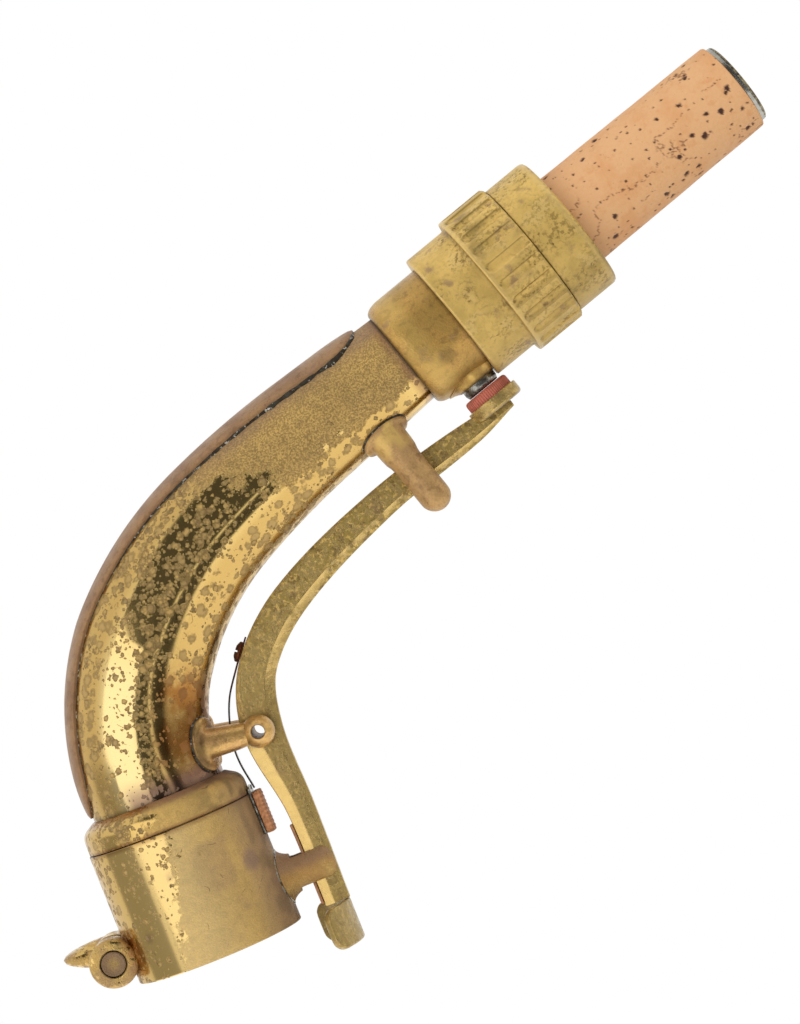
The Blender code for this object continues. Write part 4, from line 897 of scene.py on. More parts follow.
def add_look(name, bm, finish, body, nodes=(), place=None, masks=(), sharp=35.0):
    """Closes a bmesh into a piece that rides on a body and stands for CAD nodes.

    masks gives named shares per point: each is one number, a list or a function of the point's place.
    """
    if place is not None:
        moved(bm, place)
    bmesh.ops.recalc_face_normals(bm, faces=bm.faces)
    mesh = as_mesh(bm, name)
    mesh.shade_smooth()
    mesh.set_sharp_from_angle(angle=radians(sharp))
    for key, share in dict(masks).items():
        if callable(share):
            share = [share(vert.co) for vert in mesh.vertices]
        elif isinstance(share, float):
            share = [share] * len(mesh.vertices)
        mesh.attributes.new(key, "FLOAT", "POINT").data.foreach_set("value", share)
    mesh.materials.append(finish_of(finish))
    obj = bpy.data.objects.new(name, mesh)
    bpy.context.scene.collection.objects.link(obj)
    if body:
        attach(obj, body)
    if nodes:
        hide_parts(*nodes)
    return obj


class NeckOperator:
    """What the operators share."""

    bl_options = {"REGISTER", "UNDO"}


class NECK_OT_stage(NeckOperator, bpy.types.Operator):
    """Set up the camera, floor, lamp and the cards that the metal mirrors"""

    bl_idname = "neck.stage"
    bl_label = "Stage"

    # The camera's axes, the place that it looks at and its distance
    right = Vector((0.9285, 0.0, -0.3714))
    up = Vector((0.3714, 0.0, 0.9285))
    back = Vector((0.0, -1.0, 0.0))
    middle = Vector((0.0535, 0.0, 0.0553))
    distance = 0.6
    # Side and lift in degrees, distance in metres and roll in degrees
    softbox = (-35, -9, 0.70, -22)
    softbox_size = (0.66, 0.44)
    # Sheets that only the metal mirrors: where they stand, their width and height, and how bright they are
    cards = {
        "softbox_back": ((-35, -9, 0.71, -22), softbox_size, 0.0),
        "dim_room": ((-2, 13, 0.85, 0), (1.9, 1.6), 0.08),
        "light_gap": ((21, -1, 0.72, 48), (0.40, 0.05), 1.0),
        "grey_left": ((-78, -30, 0.50, 0), (0.40, 0.20), 0.40),
        "grey_right": ((78, -22, 0.55, 0), (0.80, 0.80), 0.43),
    }

    def execute(self, context):
        scene = context.scene
        scene.view_settings.view_transform = "Standard"
        lens = bpy.data.cameras.new("camera")
        lens.lens = 129.8
        lens.sensor_width = 36.0
        lens.clip_start = 0.01
        camera = bpy.data.objects.new("camera", lens)
        turn = Matrix((self.right, self.up, self.back)).transposed().to_4x4()
        camera.matrix_world = Matrix.Translation(self.middle + self.distance * self.back) @ turn
        scene.collection.objects.link(camera)
        scene.camera = camera
        self.add_world(scene, 0.40, 1.08)
        self.add_floor(context)

        key = bpy.data.lights.new("key_softbox", "AREA")
        key.shape = "RECTANGLE"
        key.size, key.size_y = self.softbox_size
        key.energy = pi * 1.5 * key.size * key.size_y
        lamp = bpy.data.objects.new("key_softbox", key)
        lamp.matrix_world = self.facing(*self.softbox)
        lamp.visible_camera = False
        scene.collection.objects.link(lamp)
        for name, (place, size, level) in self.cards.items():
            card, shader = self.add_sheet(scene, name, name, size, self.facing(*place), (0.0, 0.0, 0.0, 1.0))
            shader.inputs["Emission Strength"].default_value = level
            card.visible_camera = card.visible_diffuse = card.visible_shadow = False
        return {"FINISHED"}

    def facing(self, side, lift, distance, roll):
        """Frame at a distance from the neck that faces it, rolled about its own line of sight."""
        side, lift, roll = radians(side), radians(lift), radians(roll)
        way = (self.back * cos(side) + self.right * sin(side)) * cos(lift) + self.up * sin(lift)
        level = (self.up.cross(way)).normalized()
        across = level * cos(roll) + way.cross(level) * sin(roll)
        turn = Matrix((across, way.cross(across), way)).transposed().to_4x4()
        return Matrix.Translation(self.middle + distance * way) @ turn

    def seen(self, node, low, high):
        """A level for rays that light the object, and another for camera, mirror and glass rays."""
        path = node("ShaderNodeLightPath")
        rays = path["Is Camera Ray"]
        for other in ("Is Glossy Ray", "Is Transmission Ray"):
            rays = node("ShaderNodeMath", {0: rays, 1: path[other]}, operation="MAXIMUM")[0]
        return node("ShaderNodeMapRange", {"Value": rays, "To Min": low, "To Max": high})[0]

    def add_world(self, scene, dim, bright):
        """White behind the neck, lighting it brightly from the softbox's side and dimly from the other."""
        world = bpy.data.worlds.new("studio")
        world.use_nodes = True
        scene.world = world
        sky = world.node_tree.nodes["Background"]
        sky.inputs["Color"].default_value = (1.0, 1.0, 1.0, 1.0)
        node = partial(add_node, world.node_tree)
        lit_from = (self.back + self.up - self.right).normalized()
        way = node("ShaderNodeTexCoord")["Generated"]
        side = node("ShaderNodeVectorMath", {0: way, 1: lit_from}, operation="DOT_PRODUCT")["Value"]
        feeds = {"Value": side, "From Min": -1.0, "From Max": 1.0, "To Min": dim, "To Max": bright}
        level = self.seen(node, node("ShaderNodeMapRange", feeds)[0], 1.0)
        world.node_tree.links.new(level, sky.inputs["Strength"])

    def add_floor(self, context):
        """Floor paper below the neck, lifted to white where it is seen."""
        scene = context.scene
        place = Matrix.Translation((0.055, 0.0, -scene.neck_sizes.floor_drop))
        colour_of_paper = scene.neck_colours.floor
        _, shader = self.add_sheet(scene, "floor", "floor paper", (0.56, 0.56), place, colour_of_paper)
        shader.inputs["Roughness"].default_value = 0.9
        tree = shader.id_data
        tree.links.new(self.seen(partial(add_node, tree), 0.0, 0.5), shader.inputs["Emission Strength"])

    def add_sheet(self, scene, name, finish, size, place, base):
        """Flat piece of the stage that can glow white. Gives it with its shader."""
        mesh = bpy.data.meshes.new(name)
        corners = rectangle((-size[0] / 2, -size[1] / 2), (size[0] / 2, size[1] / 2))
        mesh.from_pydata([(x, y, 0.0) for x, y in corners], [], [(0, 1, 2, 3)])
        material = bpy.data.materials.new(finish)
        material.use_nodes = True
        shader = material.node_tree.nodes["Principled BSDF"]
        shader.inputs["Base Color"].default_value = base
        shader.inputs["Specular IOR Level"].default_value = 0.0
        shader.inputs["Emission Color"].default_value = (1.0, 1.0, 1.0, 1.0)
        mesh.materials.append(material)
        sheet = bpy.data.objects.new(name, mesh)
        sheet.matrix_world = place
        scene.collection.objects.link(sheet)
        return sheet, shader


class NECK_OT_tube(NeckOperator, bpy.types.Operator):
    """Make the bent, tapered tube"""

    bl_idname = "neck.tube"
    bl_label = "Neck tube"

    def execute(self, context):
        sides = 112
        end = NECK_LENGTH + 4.5 * MM
        count = 190
        masks = {key: [] for key in LACQUER_MARKS}
        rings = []
        lengths = [end * i / count for i in range(count + 1)]
        for along, wall in [(s, 0.0) for s in lengths] + [(s, TUBE_WALL) for s in reversed(lengths)]:
            place, lean = neck_at(along)
            radius = tube_radius(along) - wall
            ring = []
            for i in range(sides):
                turn = 2 * pi * i / sides
                point = place + radius * (cos(turn) * outward(lean) + sin(turn) * ACROSS)
                ring.append(point)
                for key, share in self.wear(along, min(turn, 2 * pi - turn), point).items():
                    masks[key].append(share)
            rings.append(ring)
        add_look("tube_wall", skinned(rings, True), "lacquer", "neck_body", ["neck_tube"], masks=masks)
        return {"FINISHED"}

    def wear(self, along, turn, point):
        """How worn the tube is at a length along it and a turn from the strap to the inside of the bend.

        Here lengths are in millimetres and turns in degrees.
        """
        s, t = along / MM, turn * 180 / pi
        border = 55.5 + 4 * eased(t, 58, 66) + 6 * eased(t, 70, 108)
        strap_side = faded(t, 52, 66)
        lever_side = eased(t, 108, 120)
        front = 1 - max(strap_side, lever_side)
        upper = eased(s, 24, 32)
        clustered = faded(abs(t - 95), 5, 10) * (1 - upper)
        spots = strap_side * (0.20 + 0.35 * eased(s, 24, 48)) + lever_side * 0.14
        spots += front * (0.26 + 0.30 * upper + 0.45 * clustered)
        blots = max(lever_side * faded(s, 86, 93), 1.05 * strap_side)
        post = Vector((8.0 * MM, 9.0 * MM, 34.0 * MM))
        by_post = near(Vector((point.x, abs(point.y), point.z)), post, 15.0 * MM)
        # Islands of polish left in the satin
        places = ((112, 74.2), (110, 77.7), (64, 58.6))
        islands = max(faded(abs(t - a), 1, 5) * faded(abs(s - b), 0.2, 1.5) for a, b in places)
        by_strap = faded(t, 36, 62) * eased(s, 48, 66)
        by_collar = faded(s, 5.4, 9.5)
        by_receiver = faded(NECK_LENGTH / MM - s, 0.4, 2.2)
        at_joint = max(faded(s, 4.9, 5.3), faded(NECK_LENGTH / MM - s, 0.1, 0.5))
        return {
            "satin": 0.8 * eased(s, border - 6, border + 5) * faded(t, 112, 130) - 0.6 * islands,
            "spoiled": spots,
            "blotched": blots,
            "stained": max(min(1.0, 1.5 * by_post) * eased(t, 98, 114), 0.6 * by_receiver),
            "violet": max(0.65 * by_strap, by_collar * eased(t, 60, 75), 0.4 * by_receiver),
            "grimy": 0.8 * at_joint,
            # Painted highlight: paler gold on the lower front, where the softbox is mirrored
            "pale": faded(abs(t - 75), 10, 22) * faded(s, 22, 34),
            "sandy": 1.0,
        }


class NECK_OT_brace(NeckOperator, bpy.types.Operator):
    """Make the strap along the outside of the bend and the solder along its edges"""

    bl_idname = "neck.brace"
    bl_label = "Top brace"

    start = 5.5 * MM
    end = NECK_LENGTH - 3.4 * MM
    point_length = 7.0 * MM
    half_widths = (5.2, 5.6)

    def half_width(self, along):
        """Half the strap's width and its fullness at a length along the tube."""
        share = (along - self.start) / (self.end - self.start)
        point = min(along - self.start, self.end - along) / self.point_length
        full = 0.3 + 0.7 * sqrt(max(0.0, 1 - (1 - min(point, 1.0)) ** 2))
        low, high = self.half_widths
        return full * (low + (high - low) * share) * MM, full

    def execute(self, context):
        rings = []
        count = 130
        lengths = [self.start + (self.end - self.start) * i / count for i in range(count + 1)]
        section = finer(filleted([(-1, 0), (-1, 1, 0.35), (1, 1, 0.35), (1, 0)], closed=False, steps=5), 0.22)
        for along in lengths:
            place, lean = neck_at(along)
            half, full = self.half_width(along)
            under = tube_radius(along) - 0.05 * MM
            thick = 0.25 * MM + full * 0.85 * MM
            spread = asin(half / under)
            ring = []
            for across, lift in section:
                crown = 1.0 - 0.22 * across * across
                spoke = cos(across * spread) * outward(lean) + sin(across * spread) * ACROSS
                ring.append(place + (under + thick * lift * crown) * spoke)
            rings.append(ring)
        add_look("brace_strap", skinned(rings), "strap", "neck_body", ["top_brace"], sharp=50)
        self.add_solder(context, lengths)
        return {"FINISHED"}

    def add_solder(self, context, lengths):
        """Thin lumpy fillet between the strap's edges and the tube."""
        bead = context.scene.neck_sizes.solder
        bm = bmesh.new()
        for side in (-1, 1):
            rings = []
            for number, along in enumerate(lengths):
                place, lean = neck_at(along)
                reach = tube_radius(along)
                turn = side * asin(self.half_width(along)[0] / reach)
                spoke = cos(turn) * outward(lean) + sin(turn) * ACROSS
                sideways = (cos(turn) * ACROSS - sin(turn) * outward(lean)) * side
                foot = place + reach * spoke
                lump = 1.0 + 0.6 * wander(3 + side, foot, 2.6) + 0.4 * wander(5, foot, 0.9)
                wider = 0.5 + eased(along, 30 * MM, 60 * MM) + 0.9 * eased(along, 62 * MM, 80 * MM)
                size = bead * max(0.3, lump) * wider
                if number in (0, len(lengths) - 1):
                    size *= 0.3
                ring = [foot - 0.15 * MM * spoke + across * size * sideways for across in (-0.5, 1.5)]
                for lift, across in ((0.10, 1.35), (0.45, 0.85), (0.85, 0.35), (0.85, -0.5)):
                    ring.append(foot + lift * size * spoke + across * size * sideways)
                rings.append(ring)
            skinned(rings, bm=bm)
        add_look("brace_solder", bm, "solder", "neck_body", sharp=60)


class NECK_OT_socket(NeckOperator, bpy.types.Operator):
    """Make the split sleeve, the tenon inside it and the collar above"""

    bl_idname = "neck.socket"
    bl_label = "Socket"

    def execute(self, context):
        bore = SOCKET_RADIUS - SOCKET_WALL
        edge = 0.22 * MM
        corners = [
            (bore, 0.0, edge), (SOCKET_RADIUS, 0.0, edge),
            (SOCKET_RADIUS, SOCKET_HEIGHT, 0.15 * MM), (bore, SOCKET_HEIGHT, edge),
        ]
        sleeve = turned(finer(filleted(corners), 0.7 * MM, True), 160)
        near_x, far_x = bore - 2.0 * MM, SOCKET_RADIUS + 2.0 * MM
        saw = box_between((-far_x, -SLIT_WIDTH / 2, -2 * MM), (-near_x, SLIT_WIDTH / 2, SLIT_HEIGHT))
        top = Vector((0.0, 0.0, SLIT_HEIGHT))
        drill = moved(rod(SLIT_DRILL, near_x, far_x, 40), aim(top, top - Vector((1.0, 0.0, 0.0))))
        sleeve = carved(sleeve, saw, drill)

        def beside(p, x, y, z, reach):
            """1 at a place in millimetres or at its mirror image, easing to 0 at reach from it."""
            return near(Vector((p.x, abs(p.y), p.z)), Vector((x * MM, y * MM, z * MM)), reach * MM)

        masks = {
            "satin": lambda p: 0.8 * eased(p.x - 0.26 * (p.z - 19.6 * MM), -2.2 * MM, 2.2 * MM),
            "spoiled": lambda p: 0.16 + 0.20 * faded(p.x, -13.6 * MM, -10 * MM)
            + 0.45 * beside(p, -1.0, 14.0, 18.0, 3.0),
            "blotched": lambda p: 0.25 + 0.55 * faded(p.x, -13.4 * MM, -9 * MM),
            # Painted highlight: paler gold left of the middle, where the softbox is mirrored
            "pale": lambda p: 0.45 * eased(p.x, -9 * MM, -5 * MM) * faded(p.x, 0.0, 9 * MM),
            "stained": lambda p: max(
                0.9 * beside(p, -12.5, 5.5, 5.5, 5.5), 0.6 * eased(p.z, 21.3 * MM, 21.9 * MM)
            ),
            # Towards the right, away from the softbox, violet and grime darken the sleeve: partly a real
            # purple tint, partly painted shade.
            "violet": lambda p: max(
                0.70 * eased(p.x, 7.5 * MM, 13.2 * MM),
                0.9 * beside(p, 13.4, 3.5, 7.0, 6.5), 0.95 * beside(p, 10.8, 8.8, 12.5, 3.2),
                0.35 * clouded(31, p, 5, 0.0, 0.35) * eased(p.x, -1 * MM, 6 * MM),
                0.5 * beside(p, -9.0, 11.0, 7.0, 1.2), 0.5 * beside(p, -2.0, 13.9, 15.0, 0.9),
            ),
            "grimy": lambda p: max(
                0.55 * eased(p.z, SOCKET_HEIGHT - 0.22 * MM, SOCKET_HEIGHT - 0.05 * MM),
                # Painted shade, clouded like dirt, on the right side
                0.32 * eased(p.x, 9.5 * MM, 13.4 * MM) * clouded(37, p, 2.5, -0.2, 0.2),
            ),
        }
        add_look("sleeve_wall", sleeve, "lacquer", "neck_body", ["socket_sleeve"], masks=masks)

        inner = TENON_RADIUS - TENON_WALL
        low, high = 1.0 * MM, SOCKET_HEIGHT
        tenon = [(inner, low, edge), (TENON_RADIUS, low, edge), (TENON_RADIUS, high), (inner, high)]
        add_look("tenon_wall", turned(filleted(tenon), 128), "satin", "neck_body", ["inner_tenon"])

        foot = SOCKET_HEIGHT + GAP
        inner = TUBE_RADIUS - 0.1 * MM
        rim = SOCKET_RADIUS - 0.15 * MM
        lip = TUBE_RADIUS + 0.4 * MM
        collar = [
            (inner, foot), (rim, foot, 0.12 * MM), (rim - 0.05 * MM, COLLAR_TOP - 1.5 * MM, 2.4 * MM),
            (lip, COLLAR_TOP - 0.1 * MM, 0.3 * MM), (inner, COLLAR_TOP),
        ]
        masks = {
            "satin": lambda p: 0.20 + 0.55 * eased(p.x, -5 * MM, 3 * MM),
            "spoiled": lambda p: 0.34 + 0.5 * near(p, Vector((-6 * MM, -12 * MM, 25 * MM)), 4 * MM),
            "blotched": 0.75,
            "stained": lambda p: 0.9 * max(
                eased(p.z, COLLAR_TOP - 1.2 * MM, COLLAR_TOP - 0.3 * MM),
                faded(p.z, foot + 0.2 * MM, foot + 0.7 * MM),
            ),
            "violet": lambda p: max(
                0.6 * eased(p.z, COLLAR_TOP - 1.6 * MM, COLLAR_TOP - 0.4 * MM) * eased(p.x, -6 * MM, 4 * MM),
                # Partly a real purple tint, partly painted shade on the right side
                0.5 * eased(p.x, 8 * MM, 13 * MM),
            ),
            "grimy": lambda p: max(
                0.6 * faded(p.z, foot, foot + 0.2 * MM),
                # Painted shade, clouded like dirt, on the right side
                0.42 * eased(p.x, 3 * MM, 10 * MM) * clouded(36, p, 2, -0.15, 0.2),
            ),
        }
        collar_ring = turned(finer(filleted(collar, steps=8), 0.5 * MM, True), 128)
        add_look("collar_ring", collar_ring, "lacquer", "neck_body", ["socket_collar"], masks=masks)
        return {"FINISHED"}


def thread(low, high, pitch, crest, root):
    """Profile points of a screw thread, drawn as rings."""
    points = []
    while low < high:
        points += [(crest, low), (root, low + pitch / 2)]
        low += pitch
    return points


def from_axis(point):
    """A point's distance from the thumb screw's axis."""
    return Vector((point.x - CLAMP.x, point.z - CLAMP.z)).length


class NECK_OT_clamp(NeckOperator, bpy.types.Operator):
    """Make the two clamp lugs and the thumb screw"""

    bl_idname = "neck.clamp"
    bl_label = "Clamp"

    def execute(self, context):
        bore = SCREW_RADIUS + 0.12 * MM
        profile = filleted([
            (bore, LUG_START, 0.15 * MM), (LUG_RADIUS, LUG_START, 0.2 * MM),
            (LUG_RADIUS, LUG_END, 2.0 * MM), (bore + 0.2 * MM, LUG_END, 0.1 * MM),
            (bore, LUG_END - 0.25 * MM, 0.1 * MM),
        ], steps=6)

        masks = {
            "satin": 0.46,
            "spoiled": 0.15,
            "blotched": 0.4,
            "violet": lambda p: 0.45 * clouded(35, p, 3, -0.15, 0.25),
            "stained": lambda p: 0.95 * eased(p.x, -15.2 * MM, -12.6 * MM),
            "grimy": lambda p: 0.8 * faded(from_axis(p), 2.12 * MM, 2.4 * MM),
        }
        for name, side in (("lug_front", -1), ("lug_rear", 1)):
            lug = moved(turned(finer(profile, 0.5 * MM, True), 64), aim(CLAMP, CLAMP + side * ACROSS))
            seat = rod(SOCKET_RADIUS - GAP, -9 * MM, 30 * MM, 160)
            add_look(name, carved(lug, seat), "lacquer", "neck_body", ["clamp_" + name], masks=masks)
        self.add_screw(context)
        return {"FINISHED"}

    def add_screw(self, context):
        """Threaded shank with a flat end, a collar and a waisted thumb wing."""
        pitch = context.scene.neck_sizes.thread
        root = SCREW_RADIUS - 0.3 * MM
        shank = [(0.0, -6.52 * MM), (1.3 * MM, -6.58 * MM)]
        shank += [(1.8 * MM, -6.74 * MM), (SCREW_RADIUS, -6.62 * MM)]
        shank += thread(-6.1 * MM, 5.6 * MM, pitch, SCREW_RADIUS, root)
        wide, low, high = 3.6 * MM, 6.95 * MM, 10.9 * MM
        collar = filleted([
            (SCREW_RADIUS, 6.5 * MM), (SCREW_RADIUS, low), (wide, low, 0.3 * MM), (wide, 8.6 * MM, 0.5 * MM),
            (2.7 * MM, 9.2 * MM, 0.6 * MM), (2.5 * MM, high), (0.0, high),
        ], closed=False)

        def at_end(p):
            return faded(p.y, -5 * MM, -2 * MM)

        masks = {
            "satin": lambda p: 0.42 + 0.4 * at_end(p),
            "spoiled": 0.3,
            "blotched": 0.6,
            "violet": lambda p: max(
                0.85 * at_end(p) * eased(from_axis(p), 0.5 * MM, 1.5 * MM),
                0.5 * clouded(36, p, 3, -0.1, 0.25),
            ),
            "grimy": lambda p: 0.3 * at_end(p),
        }
        screw = joined(turned(shank + collar, 48), self.wing())
        across = aim(CLAMP, CLAMP + ACROSS)
        add_look("thumb_piece", screw, "lacquer", "thumb_screw", ["thumb_screw"], across, masks, 40)

    def wing(self):
        """Flat wing with rounded ends and a waist, leaning a little."""
        middle, reach, half_high, half_thick = 15.1 * MM, 10.2 * MM, 5.2 * MM, 3.0 * MM
        count, sides = 40, 32
        spokes = [(cos(2 * pi * k / sides), sin(2 * pi * k / sides)) for k in range(sides)]
        rings = [[(-reach, 0.0, middle)]]
        for i in range(1, count):
            t = -1.0 + 2.0 * i / count
            high = sqrt(max(0.0, 1 - t ** 4)) * (0.84 + 0.16 * cos(2 * pi * t)) * half_high
            thick = half_thick * sqrt(max(0.0, 1 - t * t)) * (0.7 + 0.3 * (1 - abs(t)))
            heights = [middle + high * abs(c) ** 0.8 * (1 if c > 0 else -1) for c, _ in spokes]
            rings.append([(reach * t, thick * s, z) for (_, s), z in zip(spokes, heights)])
        return moved(skinned(rings + [[(reach, 0.0, middle)]]), Matrix.Rotation(radians(10), 4, "Z"))


def flange_rows(flange, thick, foot, foot_height):
    """Rows of a thin flat flange that clings to its seat, with a tight step up into a stem of radius foot."""
    return [
        (flange, -0.08 * MM, 1.0),
        (flange, 0.6 * thick, 1.0),
        (flange - 0.06 * MM, 0.85 * thick, 1.0),
        (flange - 0.2 * MM, thick, 1.0),
        (flange + 0.5 * (foot - flange), thick + 0.02 * MM, 1.0),
        (flange + 0.86 * (foot - flange), thick + 0.12 * MM, 0.9),
        (flange + 0.97 * (foot - flange), 0.6 * thick + 0.4 * foot_height, 0.5),
        (foot, foot_height, 0.0),
    ]


def add_flange_solder(name, base, axis, skin, radius, size, height=0.35 * MM, finish="solder", masks=()):
    """Uneven ring of solder round a flange."""
    inner, sunk = radius - 0.3 * MM, -0.15 * MM
    rows = [
        (inner, sunk, 1.0), (inner, height, 1.0), (radius + 0.05 * MM, 0.85 * height, 1.0),
        (radius + 0.6 * size, 0.2 * height, 1.0), (radius + size, sunk, 1.0),
    ]
    bm = draped(rows, base, axis, skin, 72, True)
    for vert in bm.verts:
        flat = (vert.co - base) - axis * (vert.co - base).dot(axis)
        if flat.length > radius:
            vert.co -= flat.normalized() * (flat.length - radius) * (0.4 + 0.5 * wander(9, vert.co, 1.6))
    add_look(name, bm, finish, "neck_body", masks=masks, sharp=60)


class NECK_OT_pivot(NeckOperator, bpy.types.Operator):
    """Make the two ball posts and the hollow hinge pin"""

    bl_idname = "neck.pivot"
    bl_label = "Pivot posts"

    def execute(self, context):
        skin = on_tube(POST_PLACE)
        place, lean = neck_at(POST_PLACE)
        reach_out = sqrt(tube_radius(POST_PLACE) ** 2 - POST_FOOT_SPREAD ** 2)
        half = sqrt(BALL_RADIUS ** 2 - HINGE_HOLE ** 2)
        mouth = 1.1 * MM
        for name, side in (("post_front", -1), ("post_rear", 1)):
            base = place - reach_out * outward(lean) + side * POST_FOOT_SPREAD * ACROSS
            ball = PIVOT + side * POST_SPREAD * ACROSS
            axis = (ball - base).normalized()
            reach = (ball - base).length
            top = reach - 1.95 * MM
            rows = flange_rows(POST_FLANGE, 0.7 * MM, 2.45 * MM, 1.6 * MM)
            rows += [(2.15 * MM, 0.6 * reach, 0.0), (1.9 * MM, top, 0.0), (0.0, top, 0.0)]
            bm = draped([(0.0, -0.3 * MM, 0.0)] + rows, base, axis, skin)
            # The outer end of the bore is peened in to a small mouth that covers the pin's end
            low = -asin(half / BALL_RADIUS)
            high = asin(sqrt(1 - (mouth + 0.1 * MM) ** 2 / BALL_RADIUS ** 2))
            tilt = [low + (high - low) * i / 18 for i in range(1, 19)]
            knob = [(HINGE_HOLE, -half + 0.25 * MM), (HINGE_HOLE + 0.12 * MM, -half + 0.05 * MM)]
            knob += [(BALL_RADIUS * cos(a), BALL_RADIUS * sin(a)) for a in tilt]
            knob += [(mouth, half + 0.12 * MM), (mouth, half - 0.08 * MM), (HINGE_HOLE, half - 0.08 * MM)]
            knob = moved(turned(knob, 64), aim(ball, ball + side * ACROSS))
            masks = {
                "bright": lambda p, ball=ball: max(
                    0.4 * near(p, ball, 4.2 * MM), 0.35 * clouded(12, p, 2.2, 0.05, 0.3)
                ),
                "grimy": lambda p, base=base, axis=axis: 0.5 * faded((p - base).dot(axis), 0.0, 0.5 * MM),
            }
            post = joined(bm, knob)
            add_look(name, post, "post", "neck_body", ["pivot_" + name], masks=masks, sharp=45)
            add_flange_solder(name + "_solder", base, axis, skin, POST_FLANGE, 0.3 * MM)

        half += POST_SPREAD - 0.2 * MM
        pin = rounded_bar((PIN_BORE, -half), (PIN_RADIUS, half), 0.12 * MM)
        add_look("pin_tube", turned(pin, 48), "peg", "neck_body", ["hinge_pin"], aim(PIVOT, PIVOT + ACROSS))
        return {"FINISHED"}


class NECK_OT_pegs(NeckOperator, bpy.types.Operator):
    """Make the two guard pegs beside the lever"""

    bl_idname = "neck.pegs"
    bl_label = "Guard pegs"

    def execute(self, context):
        along = NECK_LENGTH - PEG_SETBACK
        skin = on_tube(along)
        down = TIP_DOWN
        middle = SHOULDER - PEG_SETBACK * TIP_AXIS
        round_start = PEG_END - PEG_RADIUS
        for name, side in (("peg_front", -1), ("peg_rear", 1)):
            root = middle + down * tube_radius(along) + side * PEG_SPREAD * ACROSS
            drop = (skin(root, 0.0) - root).dot(down)
            rows = [(0.0, drop - 0.5 * MM, 0.0)] + flange_rows(PEG_FLANGE, 0.8 * MM, 3.05 * MM, 2.1 * MM)
            stem = ((2.95 * MM, 3.2), (PEG_RADIUS + 0.1 * MM, 4.0), (PEG_RADIUS, 4.8))
            rows += [(radius, height * MM, 0.0) for radius, height in stem]
            arc = [pi / 2 * k / 10 for k in range(10)]
            rows += [(PEG_RADIUS * cos(a), round_start + PEG_RADIUS * sin(a), 0.0) for a in arc]
            bm = draped(rows + [(0.0, PEG_END, 0.0)], root, down, skin, 56)

            def rubbed(p, root=root):
                low = faded((p - root).dot(down), 1.5 * MM, 3.2 * MM)
                return 0.7 * low * clouded(14, p, 2.4, -0.05, 0.2)

            masks = {"bright": rubbed}
            add_look(name, bm, "peg", "neck_body", ["guard_" + name], masks=masks, sharp=60)
            add_flange_solder(name + "_solder", root, down, skin, PEG_FLANGE, 0.35 * MM)
        return {"FINISHED"}


class NECK_OT_guide(NeckOperator, bpy.types.Operator):
    """Make the forked key guide on the socket"""

    bl_idname = "neck.guide"
    bl_label = "Key guide"

    def execute(self, context):
        base = Vector((SOCKET_RADIUS, 0.0, GUIDE_HEIGHT))
        axis = Vector((1.0, 0.0, 0.0))
        skin = on_shaft(Matrix(), SOCKET_RADIUS)
        rows = [(0.0, -0.4 * MM, 0.0), (GUIDE_FLANGE, -0.08 * MM, 1.0), (GUIDE_FLANGE, 0.04 * MM, 1.0)]
        cove = ((4.3, 0.2, 1.0), (3.95, 0.5, 0.85), (3.65, 0.9, 0.55), (3.4, 1.4, 0.25), (3.22, 1.9, 0.05))
        rows += [(r * MM, h * MM, cling) for r, h, cling in cove]
        rows += [(GUIDE_RADIUS, 2.5 * MM, 0.0), (GUIDE_RADIUS, 5.0 * MM, 0.0)]
        arc = [pi / 2 * k / 10 for k in range(11)]
        nose = 1.7 * MM
        rows += [(GUIDE_RADIUS - nose + nose * cos(a), GUIDE_END - nose + nose * sin(a), 0.0) for a in arc]
        bm = draped(rows + [(0.0, GUIDE_END, 0.0)], base, axis, skin, 64)
        slot = box_between((16.0 * MM, -GUIDE_SLOT_HALF, -4 * MM), (30 * MM, GUIDE_SLOT_HALF, 20 * MM))
        masks = {
            "satin": 0.8,
            "spoiled": 0.1,
            "blotched": 0.4,
            "violet": lambda p: 0.7 * eased(p.z, 6.8 * MM, 9.0 * MM),
            "stained": 0.55,
            "grimy": lambda p: 0.30 * faded(p.z, 3.8 * MM, 6.5 * MM),
        }
        fork = carved(bm, slot)
        add_look("guide_fork", fork, "lacquer", "neck_body", ["key_guide_fork"], masks=masks, sharp=40)
        corroded = {
            "olive": lambda p: 0.7 * clouded(33, p, 1.2, -0.1, 0.2),
            "bright": lambda p: 0.7 * clouded(34, p, 0.8, 0.0, 0.2),
        }
        ring = (base, axis, skin, GUIDE_FLANGE, 0.5 * MM, 0.16 * MM)
        add_flange_solder("guide_solder", *ring, "silver", corroded)
        return {"FINISHED"}


